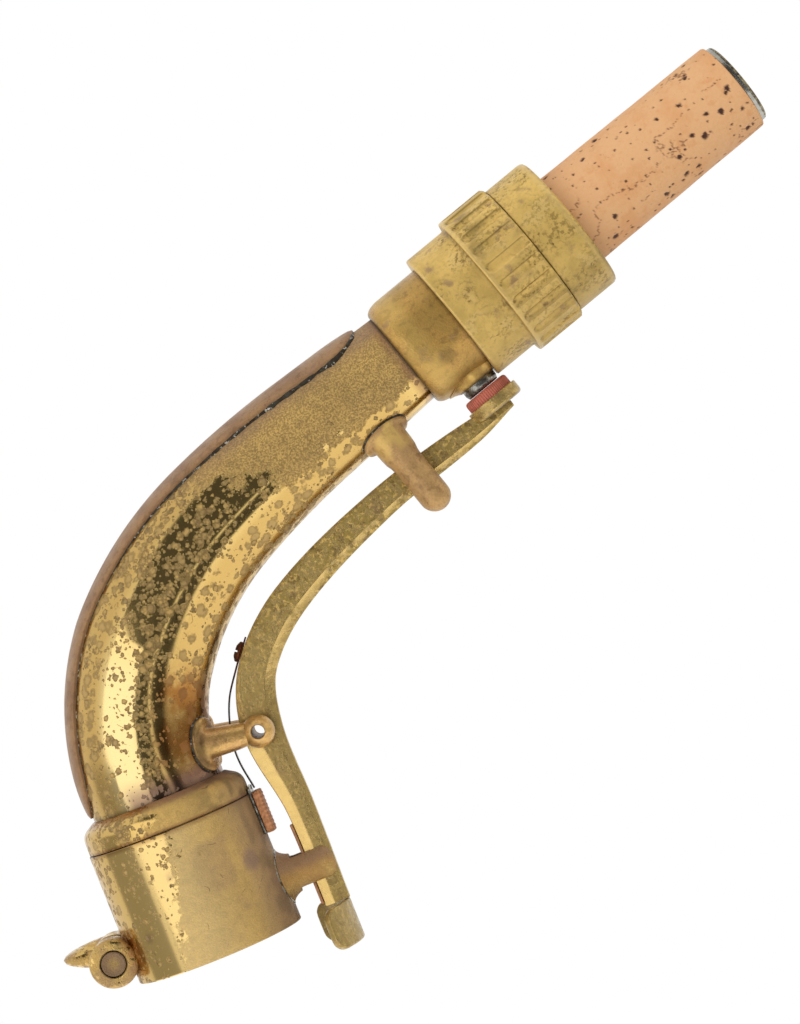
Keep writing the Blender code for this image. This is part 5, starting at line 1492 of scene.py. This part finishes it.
def arc_plate(radius, thick, half_angle, low, high, corner, edge, columns=48, ribs=None):
    """Plate bent about Z and centred on +X, with rounded corners. ribs(height) may lift its face."""
    half_long = radius * half_angle
    half_high = (high - low) / 2
    middle = (low + high) / 2
    rows = ceil(2 * half_high / (0.16 * MM if ribs else 0.8 * MM))
    stops = [-half_long + 2 * half_long * i / columns for i in range(columns + 1)]
    fine = [corner * (1 - cos(pi / 2 * k / 6)) for k in range(1, 7)]
    stops = sorted(set(stops) | {-half_long + f for f in fine} | {half_long - f for f in fine})
    rings = []
    for along in stops:
        past = max(0.0, abs(along) - (half_long - corner))
        tall = half_high - corner + sqrt(max(0.0, corner ** 2 - past ** 2))
        closing = min(1.0, (half_long - abs(along)) / edge)
        slim = thick / 2 * (0.55 + 0.45 * sqrt(max(0.0, 1 - (1 - closing) ** 2)))
        outline = rounded_bar((-slim, -tall), (slim, tall), edge)
        section = []
        for start, end in zip(outline, outline[1:] + outline[:1]):
            count = rows if abs(end[1] - start[1]) > tall else 1
            section += [tuple(Vector(start).lerp(Vector(end), k / count)) for k in range(count)]
        angle = along / radius
        ring = []
        for across, rise in section:
            lift = ribs(rise) if ribs and across > 0 else 0.0
            reach = radius - thick / 2 + across + lift
            ring.append((reach * cos(angle), reach * sin(angle), middle + rise))
        rings.append(ring)
    return skinned(rings)


class NECK_OT_bumper(NeckOperator, bpy.types.Operator):
    """Make the bumper's plate and its ribbed cork strip"""

    bl_idname = "neck.bumper"
    bl_label = "Bumper"

    def execute(self, context):
        half = BUMPER_HALF_ANGLE
        plate = arc_plate(14.6 * MM, 0.45 * MM, half, BUMPER_LOW, 23.2 * MM, 0.5 * MM, 0.12 * MM, 24)
        masks = {"bright": lambda p: 0.8 * eased(p.z, 21.5 * MM, 23 * MM)}
        add_look("bumper_shim", plate, "silver", "neck_body", ["bumper_plate"], masks=masks)
        spacing = context.scene.neck_sizes.rib

        def ribbed(rise):
            return -0.09 * MM * (1 - cos(2 * pi * rise / spacing)) / 2

        high = 22.0 * MM
        middle = (BUMPER_LOW + high) / 2
        pad = arc_plate(15.9 * MM, 1.25 * MM, half, BUMPER_LOW, high, 0.6 * MM, 0.3 * MM, 24, ribbed)
        masks = {"grimy": lambda p: (1 - cos(2 * pi * (p.z - middle) / spacing)) / 2}
        add_look("bumper_strip", pad, "bumper", "neck_body", ["bumper_cork"], masks=masks, sharp=50)
        return {"FINISHED"}


def from_shoulder(point):
    """A point's length along the neck's tip from the tube's shoulder, and its distance from the axis."""
    along = (point - SHOULDER).dot(TIP_AXIS)
    return along, (point - SHOULDER - along * TIP_AXIS).length


class NECK_OT_receiver(NeckOperator, bpy.types.Operator):
    """Make the tuning nut's receiver with the octave vent under it"""

    bl_idname = "neck.receiver"
    bl_label = "Receiver and vent"

    def execute(self, context):
        pipe_bore = PIPE_RADIUS + RUNNING_GAP
        tube_bore, tube_end = RECEIVER_BORE - 0.12 * MM, 4.6 * MM
        # The shoulder is a long round, deeper along the tube than across it
        quarter = [pi / 2 * k / 12 for k in range(13)]
        shoulder = [(RECEIVER_RADIUS - 1.3 * MM * (1 - sin(a)), 2.7 * MM * (1 - cos(a))) for a in quarter]
        profile = shoulder + filleted([
            (RECEIVER_RADIUS, FLANGE_START), (FLANGE_RADIUS, FLANGE_START, 0.1 * MM),
            (FLANGE_RADIUS, RECEIVER_END, 0.1 * MM), (pipe_bore, RECEIVER_END),
            (pipe_bore, tube_end), (tube_bore, tube_end), (tube_bore, 0.0),
        ], closed=False, steps=10)
        axis, down = TIP_AXIS, TIP_DOWN
        spot = SHOULDER + 5.5 * MM * axis - 8.5 * MM * ACROSS + 4.5 * MM * down

        # A painted highlight in a band round the shoulder's round
        def rubbed(p):
            along, _ = from_shoulder(p)
            return 0.35 * eased(along, 0.8 * MM, 2.0 * MM) * faded(along, 3.5 * MM, 6 * MM)

        def dirt(p):
            along, _ = from_shoulder(p)
            return max(
                0.45 * faded(along, 0.0, 0.4 * MM), 0.6 * eased(along, 9.9 * MM, NUT_START),
                0.40 * near(p, spot, 2.0 * MM), 0.35 * near(p, spot + 2.5 * MM * down, 1.5 * MM),
            )

        body = turned(finer(profile, 0.6 * MM, True), 128)
        masks = {"bright": rubbed, "grimy": dirt}
        add_look("receiver_sleeve", body, "sleeve", "neck_body", ["tuner_receiver"], TIP, masks)

        base = SHOULDER + VENT_PLACE * axis + RECEIVER_RADIUS * down
        skin = on_shaft(TIP, RECEIVER_RADIUS)
        # Radius and height in millimetres, and cling
        rows = (
            (3.0, -0.2, 1.0), (5.3, -0.1, 1.0), (5.3, 0.12, 1.0), (4.9, 0.2, 1.0), (4.4, 0.32, 0.85),
            (3.9, 0.5, 0.45), (3.55, 0.7, 0.1), (3.4, 0.8, 0.0), (3.18, 0.8, 0.0), (3.0, 0.5, 0.0),
        )
        saddle = draped([(r * MM, h * MM, cling) for r, h, cling in rows], base, down, skin, 72, True)
        for vert in saddle.verts:
            past = from_shoulder(vert.co)[0] - (NUT_START - 0.15 * MM)
            if past > 0:
                vert.co -= axis * past
        masks = {
            "bright": lambda p: 0.8 * clouded(25, p, 1.6, -0.1, 0.1),
            "grimy": lambda p: 0.7 * eased((p - base).dot(down), 0.3 * MM, 0.7 * MM),
        }
        add_look("vent_flare", saddle, "sleeve", "neck_body", ["vent_saddle"], masks=masks, sharp=50)

        bore, low = 1.3 * MM, 8.6 * MM
        pip = filleted([
            (bore, low), (PIP_RADIUS, low), (PIP_RADIUS, 11.5 * MM, 0.2 * MM),
            (PIP_RADIUS - 0.25 * MM, PIP_END, 0.25 * MM), (1.5 * MM, PIP_END, 0.15 * MM),
            (bore, PIP_END - 0.2 * MM),
        ])
        masks = {"bright": lambda p: max(
            0.3 * eased((p - base).dot(down), 1.9 * MM, 2.3 * MM), 0.7 * clouded(26, p, 1.1, 0.05, 0.25)
        )}
        pip = turned(finer(pip, 0.4 * MM, True), 64)
        add_look("vent_pip_look", pip, "silver", "neck_body", ["vent_pip"], VENT, masks)
        return {"FINISHED"}


def flute_radius(height, angle):
    """Radius of the grip at a height on the nut: plain, or cut by a round mill that runs out at the cap."""
    mill, depth, rim = 1.30 * MM, 0.50 * MM, 0.6 * MM
    chord = sqrt(mill ** 2 - (mill - depth) ** 2)
    past = max(GRIP_START + rim + chord - height, 0.0)
    if past >= mill:
        return GRIP_RADIUS
    pitch = 2 * pi / FLUTES
    off = angle % pitch - pitch / 2
    centre = GRIP_RADIUS + mill - depth
    under = mill ** 2 - past ** 2 - (centre * sin(off)) ** 2
    return GRIP_RADIUS if under <= 0 else min(GRIP_RADIUS, centre * cos(off) - sqrt(under))


class NECK_OT_nut(NeckOperator, bpy.types.Operator):
    """Make the fluted tuning nut, its end cap and the keeper ring inside"""

    bl_idname = "neck.nut"
    bl_label = "Tuning nut"

    def execute(self, context):
        edge = 0.3 * MM
        bore = RECEIVER_RADIUS + RUNNING_GAP
        chamfer = 0.4 * MM
        outside = filleted([
            (bore, NUT_START), (NUT_BAND_RADIUS, NUT_START, edge), (NUT_BAND_RADIUS, GRIP_START, 0.8 * MM),
            (GRIP_RADIUS, GRIP_START, 0.25 * MM), (GRIP_RADIUS, GRIP_END - chamfer),
            (GRIP_RADIUS - chamfer, GRIP_END), (11.74 * MM, GRIP_END),
        ], closed=False)
        step, floor = 25.3 * MM, FLANGE_START - RUNNING_GAP
        inside = [(11.74 * MM, step), (CHAMBER_RADIUS, step), (CHAMBER_RADIUS, floor), (bore, floor)]

        def fluted(radius, height, angle):
            return radius if radius < GRIP_RADIUS - 0.45 * MM else min(radius, flute_radius(height, angle))

        def underside_shade(p):
            """How far down the front a point lies, for painted shade on the lower side."""
            return eased((p - SHOULDER).dot(TIP_DOWN), 1.0 * MM, 9.0 * MM)

        def shaded_flute_wall(p):
            """1 on a flute's upper wall, which gets painted shade, and 0 on its lower wall, which gets a
            painted highlight.
            """
            place = TIP.inverted() @ p
            angle = atan2(place.y, place.x)
            off = angle % (2 * pi / FLUTES) - pi / FLUTES
            rising = (TIP.to_3x3() @ Vector((-sin(angle), cos(angle), 0.0))).z
            return 1.0 if off * rising > 0 else 0.0

        def dirt(p):
            along, reach = from_shoulder(p)
            on_wall = faded(abs(GRIP_RADIUS - 0.16 * MM - reach), 0.05 * MM, 0.16 * MM)
            # Painted shade on each flute's upper wall
            flute_wall_shade = on_wall * shaded_flute_wall(p) if 18.7 * MM < along < 26.8 * MM else 0.0
            cove = faded(abs(along - GRIP_START + 0.1 * MM), 0.1 * MM, 0.7 * MM)
            seam = eased(along, 27.1 * MM, 27.3 * MM) * clouded(21, p, 2.5, -0.3, 0.25)
            blot = clouded(22, p, 3.0, 0.15, 0.5) * eased(along, GRIP_START, GRIP_START + 1 * MM)
            cove *= faded(reach, 12.2 * MM, 12.8 * MM)
            # Painted shade on the flutes and the lower side, darkening in the corner and along the seam, and
            # dirt blots
            return max(0.55 * flute_wall_shade, 0.22 * underside_shade(p), 0.35 * cove, 0.55 * seam, 0.28 * blot)

        def rubbed(p):
            # The nut's front and the grip's rim are rubbed, and each flute's lower wall has a painted
            # highlight.
            along, reach = from_shoulder(p)
            rim = faded(abs(along - GRIP_START - 0.35 * MM), 0.15 * MM, 0.55 * MM)
            rib = faded(abs(GRIP_RADIUS - 0.1 * MM - reach), 0.04 * MM, 0.14 * MM)
            rib *= 0.75 * (1 - shaded_flute_wall(p))
            front = 0.6 * faded(along - NUT_START, 0.15 * MM, 0.5 * MM)
            return max(front, rib, 0.9 * rim * eased(reach, 12.6 * MM, 13.0 * MM))

        nut = turned(finer(outside, 0.3 * MM) + inside, FLUTES * 20, fluted)
        masks = {"grimy": dirt, "bright": rubbed}
        add_look("nut_body", nut, "satin", "tuning_nut", ["tuning_nut"], TIP, masks, 30)

        cap_start = GRIP_END + GAP
        spigot, spigot_start = 11.54 * MM, cap_start - 2 * MM
        chamber = 33.8 * MM
        cap = filleted([
            (CHAMBER_RADIUS, spigot_start), (spigot, spigot_start), (spigot, cap_start),
            (CAP_RADIUS, cap_start, 0.25 * MM), (CAP_RADIUS, CAP_END, 1.0 * MM),
            (CAP_MOUTH, CAP_END, 0.25 * MM), (CAP_MOUTH, chamber), (CHAMBER_RADIUS, chamber),
        ])

        def cap_dirt_and_shade(p):
            along, reach = from_shoulder(p)
            # Painted shade: a dark line in the gap between the mouth and the cork
            mouth = faded(reach, 8.5 * MM, 8.9 * MM) * eased(along, 34.8 * MM, 35.1 * MM)
            seam = faded(along, cap_start, cap_start + 0.25 * MM)
            # Painted shade on the lower side
            return max(0.42 * seam, 0.85 * mouth, 0.3 * underside_shade(p))

        def cap_rim_highlight(p):
            along, reach = from_shoulder(p)
            # Painted highlight: a bright line along the middle of the rim's round
            line = faded(abs(along - CAP_END + 0.75 * MM), 0.15 * MM, 0.4 * MM)
            return 0.9 * line * eased(reach, 11.2 * MM, 11.5 * MM)

        cap = turned(finer(cap, 0.5 * MM, True), 128)
        masks = {"grimy": cap_dirt_and_shade, "bright": cap_rim_highlight}
        add_look("nut_cap", cap, "satin", "tuning_nut", ["nut_end_cap"], TIP, masks)

        keeper = rounded_bar((8.8 * MM, 22.44 * MM), (10.5 * MM, 24.04 * MM), edge)
        add_look("keeper_look", turned(keeper, 96), "satin", "tuning_nut", ["nut_keeper_ring"], TIP)
        return {"FINISHED"}


class NECK_OT_mouthpipe(NeckOperator, bpy.types.Operator):
    """Make the sliding mouthpipe with its cork, tip ring and screw ring, and give the rib its finish"""

    bl_idname = "neck.mouthpipe"
    bl_label = "Mouthpipe and cork"

    def execute(self, context):
        edge = 0.12 * MM
        low = 12.6 * MM
        pipe = filleted([
            (PIPE_BORE, low, edge), (PIPE_RADIUS, low, edge), (PIPE_RADIUS, CORK_END), (PIPE_BORE, CORK_END)
        ])
        add_look("pipe_wall", turned(pipe, 96), "satin", "mouthpipe", ["mouthpipe_tube"], TIP)
        seat = PIPE_RADIUS + GAP
        crest, rim = 10.5 * MM, 10.1 * MM
        ring = [(seat, SCREW_RING_START), (rim, SCREW_RING_START)]
        ring += thread(27.6 * MM, 30.1 * MM, 0.6 * MM, crest, crest - 0.3 * MM)
        ring += [(rim, SCREW_RING_END), (seat, SCREW_RING_END)]
        add_look("screw_ring", turned(ring, 96), "satin", "mouthpipe", ["threaded_ring"], TIP)
        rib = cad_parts["guide_rib"].data.materials
        rib.clear()
        rib.append(finish_of("satin"))
        self.add_cork(context)

        low = CORK_END + GAP
        groove, end = low + 0.7 * MM, low + 1.1 * MM
        ring = filleted([
            (PIPE_BORE, low, 0.05 * MM), (7.25 * MM, low, 0.05 * MM), (7.32 * MM, low + 0.62 * MM, 0.1 * MM),
            (7.2 * MM, groove), (7.28 * MM, low + 0.85 * MM, 0.2 * MM), (7.0 * MM, end, 0.2 * MM),
            (6.55 * MM, end, 0.3 * MM), (PIPE_BORE, groove, 0.2 * MM),
        ], steps=5)
        masks = {
            "bright": lambda p: 0.85 * faded(from_shoulder(p)[0], low + 0.5 * MM, low + 0.68 * MM),
            "olive": lambda p: 0.75 * eased(from_shoulder(p)[0], low + 0.66 * MM, low + 0.8 * MM),
        }
        add_look("tip_ring_look", turned(ring, 96), "silver", "mouthpipe", ["tip_ring"], TIP, masks)
        return {"FINISHED"}

    def add_cork(self, context):
        """Cork sleeve with pores and cracks sunk into its face."""
        spacing = context.scene.neck_sizes.pit
        seat = PIPE_RADIUS + GAP
        outline = filleted([
            (seat, CORK_START), (CORK_BASE_RADIUS, CORK_START, 0.1 * MM), (CORK_BASE_RADIUS, CAP_END),
            (CORK_TIP_RADIUS, CORK_END, 0.25 * MM), (seat, CORK_END),
        ], closed=False, steps=3)
        outline = finer(outline, 0.21 * MM)

        def pore(point):
            """How deep in a pore a point is, from 0 to 1. Large pores are sparse, fine ones lie between."""
            ragged = 0.13 * wander(4, point, 0.55) + 0.07 * wander(5, point, 0.3)
            deepest = 0.0
            sorts = ((spacing, 0.12, 0.31, -0.35), (0.5 * spacing, 0.13, 0.23, 0.05))
            for number, (step, least, most, chosen) in enumerate(sorts):
                gaps, places = noise.voronoi(point / step + Vector((9.1, 4.7, 2.3)) * number)
                pick = noise.cell(places[0] * 31.7)
                if pick > chosen:
                    size = least + (most - least) * ((pick - chosen) / (1 - chosen)) ** 2 + ragged
                    deepest = max(deepest, faded(gaps[0], 0.75 * size, size + 0.04))
            return deepest

        def split(point):
            """How much of a crack runs through a point. Cracks are thin, wander and come only in places."""
            drawn = Vector((point.x, point.y, 0.4 * point.z))
            jagged = 0.12 * wander(9, point, 0.9) + 0.10 * wander(10, point, 0.5)
            line = abs(wander(8, drawn, 4.5) + jagged)
            return faded(line, 0.006, 0.030) * clouded(11, point, 5, 0.16, 0.30)

        def sunk(radius, height, angle):
            if radius < CORK_TIP_RADIUS - 0.4 * MM:
                return radius
            point = Vector((radius * cos(angle), radius * sin(angle), height))
            wave = 0.06 * MM + 0.05 * MM * wander(2, point, 5)
            return radius - wave - 0.16 * MM * pore(point) - 0.07 * MM * split(point)

        bm = turned(outline, 256, sunk)
        masks = {"pit": [], "crack": [], "pale": []}
        for vert in bm.verts:
            flat = Vector((vert.co.x, vert.co.y))
            share = (CORK_END - vert.co.z) / (CORK_END - CAP_END)
            radius = CORK_TIP_RADIUS + (CORK_BASE_RADIUS - CORK_TIP_RADIUS) * min(max(share, 0.0), 1.0)
            outer = flat.length > CORK_TIP_RADIUS - 0.5 * MM
            flat = flat.normalized() * radius
            point = Vector((flat.x, flat.y, vert.co.z))
            masks["pit"].append(pore(point) if outer else 0.0)
            masks["crack"].append(split(point) if outer else 0.0)
            masks["pale"].append(faded(vert.co.z, CAP_END, CAP_END + 4 * MM))
        add_look("cork_sleeve", bm, "cork", "mouthpipe", ["neck_cork"], TIP, masks, 60)


def lever_path(step):
    """The lever's points in metres, as x, z and half its depth."""
    return smooth_run([tuple(v * MM for v in point) for point in LEVER_POINTS], step)


def beside_lever(height, distance):
    """Place that stands off the lever's inner edge at a height, and the edge's direction there."""
    edge = [
        Vector((x - run.y * half, z + run.x * half)) for (x, z, half), run in with_runs(lever_path(1.0 * MM))
    ]
    above = next(i for i, place in enumerate(edge) if place.y > height)
    low, high = edge[above - 1], edge[above]
    run = (high - low).normalized()
    place = low.lerp(high, (height - low.y) / (high.y - low.y))
    return place + distance * Vector((-run.y, run.x)), run


class NECK_OT_lever(NeckOperator, bpy.types.Operator):
    """Make the octave lever with its barrel, foot plate and leather liner"""

    bl_idname = "neck.lever"
    bl_label = "Octave lever"

    def execute(self, context):
        wide = LEVER_HALF_WIDTH

        def section(half, outer, inner):
            """Flat bar with a broad bevel on its outer edge, and low down another on its inner edge."""
            cut, other = outer * half, inner * half
            deep, low = min(0.5 * cut, 0.75 * MM), min(0.5 * other, 0.52 * MM)
            front = [(-half, -wide + deep), (-half + cut, -wide), (half - other, -wide), (half, -wide + low)]
            rear = [(x, -y) for x, y in reversed(front)]
            corners = filleted([place + (0.15 * MM,) for place in front + rear], steps=2)
            outline = []
            for i, (start, end) in enumerate(zip(corners, corners[1:] + corners[:1])):
                # Points close to each rounded edge, so that its rubbed line stays narrow
                shares = (0.0, 0.12, 0.88) if i % 3 == 2 else (0.0,)
                outline += [tuple(Vector(start).lerp(Vector(end), share)) for share in shares]
            return outline

        def bevels(z):
            """Widths of the outer and the inner bevel at a height, as shares of the bar's half depth."""
            upper = eased(z, 26 * MM, 38 * MM)
            return 0.42 + 0.12 * upper, 0.78 - 0.62 * upper

        path = [(x, z, half, *bevels(z)) for x, z, half in lever_path(0.8 * MM)]
        bar = swept(path, section)
        stations = [(Vector(here[:2]), Vector((-run.y, run.x)), *here[2:]) for here, run in with_runs(path)]

        def rubbed(p):
            """The ridge of the outer bevel is rubbed. Low down the arm is rubbed too, and its whole inner
            bevel carries a painted highlight.
            """
            flat = Vector((p.x, p.z))
            centre, side, half, outer, inner = min(stations, key=lambda s: (s[0] - flat).length_squared)
            place = (flat - centre).dot(side) / half
            ridge = faded(abs(place + 1 - outer), 0.06, 0.2) * clouded(41, p, 3, -0.25, 0.15)
            low = faded(p.z, 27 * MM, 32 * MM) * (0.30 + 0.65 * eased(place, 0.94 - inner, 1.06 - inner))
            return max(0.8 * ridge, low, 0.45 * faded(p.z, 38 * MM, 50 * MM))

        crossways = aim(PIVOT, PIVOT + ACROSS)
        hole = moved(rod(2.2 * MM, -4 * MM, 4 * MM, 48), crossways)
        room = moved(rod(CUP_RADIUS - 0.4 * MM, 10 * MM, CUP_BACK - 0.25 * MM, 64), VENT)

        def by_pivot(p):
            return 0.6 * faded(Vector((p.x - PIVOT.x, p.z - PIVOT.z)).length, 2.3 * MM, 3.1 * MM)

        masks = {"bright": rubbed, "grimy": by_pivot}
        bar = carved(bar, hole, room)
        add_look("lever_bar", bar, "key", "octave_key", ["octave_lever"], masks=masks, sharp=5)

        half = BARREL_HALF_LENGTH
        barrel = rounded_bar((BARREL_BORE, -half), (BARREL_RADIUS, half), 0.15 * MM)
        add_look("barrel_tube", turned(barrel, 56), "key", "octave_key", ["hinge_barrel"], crossways)

        foot = arc_plate(13.8 * MM, 1.4 * MM, radians(50), -6.6 * MM, 0.3 * MM, 2.2 * MM, 0.45 * MM, 64)
        # Turned a little, so that its far end shows beside the near one
        shift = Matrix.Translation((8.9 * MM, 0.0, 0.0)) @ Matrix.Rotation(radians(5.5), 4, "Z")
        # The foot's far half is darkened as painted shade, over an even darker tone
        masks = {"bright": 0.35, "grimy": lambda p: 0.18 + 0.2 * eased(p.y, 0.0, 4.0 * MM)}
        add_look("foot_plate", foot, "key", "octave_key", ["key_foot"], shift, masks, 50)

        half, deep = 0.225 * MM, 1.4 * MM
        strip = []
        for i in range(29):
            place, _ = beside_lever(1.0 * MM + 13.7 * MM * i / 28, GAP / 2 + half)
            strip.append((place.x, place.y))
        roundings = (0.1 * MM, 0.15 * MM, 0.15 * MM, 0.1 * MM)
        corners = zip(rectangle((-half, -deep), (half, deep)), roundings)
        skin = filleted([place + (rounding,) for place, rounding in corners], steps=3)
        leather = swept(strip, lambda: skin)
        masks = {"creased": lambda p: max(0.0, wander(6, p, 1.5))}
        add_look("liner_strip", leather, "liner", "octave_key", ["lever_liner"], masks=masks, sharp=60)
        return {"FINISHED"}


class NECK_OT_pad(NeckOperator, bpy.types.Operator):
    """Make the pad and the cup that holds it"""

    bl_idname = "neck.pad"
    bl_label = "Pad and cup"

    def execute(self, context):
        width = context.scene.neck_sizes.pleat
        count = round(2 * pi * PAD_RADIUS / width)
        dish = PAD_START + 0.12 * MM
        profile = filleted([
            (0.0, dish), (1.9 * MM, dish, 0.3 * MM), (2.6 * MM, PAD_START, 0.4 * MM),
            (PAD_RADIUS, PAD_START, 0.65 * MM), (PAD_RADIUS, PAD_END), (0.0, PAD_END),
        ], closed=False, steps=5)

        def pleated(radius, height, angle):
            fold = (1 + cos(count * angle + 2.5 * sin(3 * angle))) / 2
            return radius - 0.09 * MM * fold ** 2 * eased(radius, 3.2 * MM, 4.0 * MM)

        bm = turned(finer(profile, 0.35 * MM), count * 8, pleated)
        depths = [PAD_RADIUS - vert.co.xy.length for vert in bm.verts]
        folds = [0.9 * eased(deep, 0.04 * MM, 0.09 * MM) if deep < 0.12 * MM else 0.0 for deep in depths]
        pad = add_look("pad_skin", bm, "pad", "octave_key", ["octave_pad"], VENT, {"creased": folds}, 60)

        inner = CUP_RADIUS - 0.5 * MM
        cup = filleted([
            (0.0, PAD_END + GAP), (inner, PAD_END + GAP), (inner, CUP_LIP, 0.1 * MM),
            (CUP_RADIUS, CUP_LIP, 0.15 * MM), (CUP_RADIUS, CUP_BACK, 0.8 * MM), (0.0, CUP_BACK),
        ], closed=False, steps=6)
        masks = {
            "bright": 0.3,
            "grimy": lambda p: 0.5 * eased((p - SHOULDER).dot(TIP_DOWN), 15.9 * MM, CUP_BACK),
        }
        add_look("cup_shell", turned(finer(cup, 0.5 * MM), 72), "key", "octave_key", ["pad_cup"], VENT, masks)
        return {"FINISHED"}


class NECK_OT_spring(NeckOperator, bpy.types.Operator):
    """Make the flat spring and its screw"""

    bl_idname = "neck.spring"
    bl_label = "Spring"

    def execute(self, context):
        thick = 0.25 * MM
        seat, run = beside_lever(43.6 * MM, GAP / 2 + thick / 2)
        root = seat + run * 2.6 * MM
        tip = (14.915 * MM, 22.5 * MM)
        places = [tuple(root), tuple(seat), tuple(seat - run * 2.6 * MM)]
        places += [(16.4 * MM, 37.2 * MM), (14.5 * MM, 31.5 * MM), (14.2 * MM, 27.5 * MM), tip]
        path = smooth_run(places, 0.5 * MM)
        last = len(path) - 1
        halves = [(1.3 - 0.6 * i / last) * MM * (0.6 + 0.4 * min(1.0, i / 4)) for i in range(last + 1)]
        path = [(*place, half) for place, half in zip(path, halves)]
        leaf = swept(path, lambda deep: rounded_bar((-thick / 2, -deep), (thick / 2, deep), 0.1 * MM, 2))
        masks = {"rusty": lambda p: eased(p.z, 36 * MM, 43 * MM)}
        spring = add_look("spring_leaf", leaf, "steel", None, ["leaf_spring"], masks=masks, sharp=60)
        screw_place = Vector((seat.x, 0.0, seat.y))
        away = Vector((-run.y, 0.0, run.x))
        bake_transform(spring)

        under = thick / 2 + 0.02 * MM
        shank, wide, end = 0.8 * MM, 1.7 * MM, -3.0 * MM
        head = filleted([
            (0.0, end), (shank, end), (shank, under), (wide, under, 0.1 * MM),
            (wide, under + 0.45 * MM, 0.25 * MM), (0.9 * MM, under + 0.86 * MM, 0.6 * MM),
            (0.0, under + 0.9 * MM),
        ], closed=False)
        slot = box_between((-3 * MM, -0.2 * MM, under + 0.42 * MM), (3 * MM, 0.2 * MM, under + 2 * MM))
        screw = carved(turned(head, 48), slot)
        standing = aim(screw_place, screw_place + away)
        add_look("screw_head", screw, "steel", "octave_key", ["spring_screw"], standing, {"rusty": 1.0})
        return {"FINISHED"}


class NECK_PT_panel(bpy.types.Panel):
    """Lists the neck's pieces and settings in the sidebar"""

    bl_idname = "NECK_PT_panel"
    bl_label = "Saxophone neck"
    bl_space_type = "VIEW_3D"
    bl_region_type = "UI"
    bl_category = "Neck"

    def draw(self, context):
        column = self.layout.column()
        for operator in OPERATORS:
            column.operator(operator.bl_idname)
        for settings in (context.scene.neck_sizes, context.scene.neck_colours):
            for key in settings.bl_rna.properties.keys():
                if key not in ("rna_type", "name"):
                    column.prop(settings, key)


OPERATORS = (
    NECK_OT_stage,
    NECK_OT_tube,
    NECK_OT_brace,
    NECK_OT_socket,
    NECK_OT_clamp,
    NECK_OT_pivot,
    NECK_OT_pegs,
    NECK_OT_guide,
    NECK_OT_bumper,
    NECK_OT_receiver,
    NECK_OT_nut,
    NECK_OT_mouthpipe,
    NECK_OT_lever,
    NECK_OT_pad,
    NECK_OT_spring,
)
CLASSES = (NeckColours, NeckSizes, *OPERATORS, NECK_PT_panel)


def register():
    for cls in CLASSES:
        bpy.utils.register_class(cls)
    bpy.types.Scene.neck_colours = bpy.props.PointerProperty(type=NeckColours)
    bpy.types.Scene.neck_sizes = bpy.props.PointerProperty(type=NeckSizes)


def unregister():
    del bpy.types.Scene.neck_sizes
    del bpy.types.Scene.neck_colours
    for cls in reversed(CLASSES):
        bpy.utils.unregister_class(cls)


def main():
    register()
    for operator in OPERATORS:
        group, name = operator.bl_idname.split(".")
        getattr(getattr(bpy.ops, group), name)()


if __name__ == "__main__":
    main()
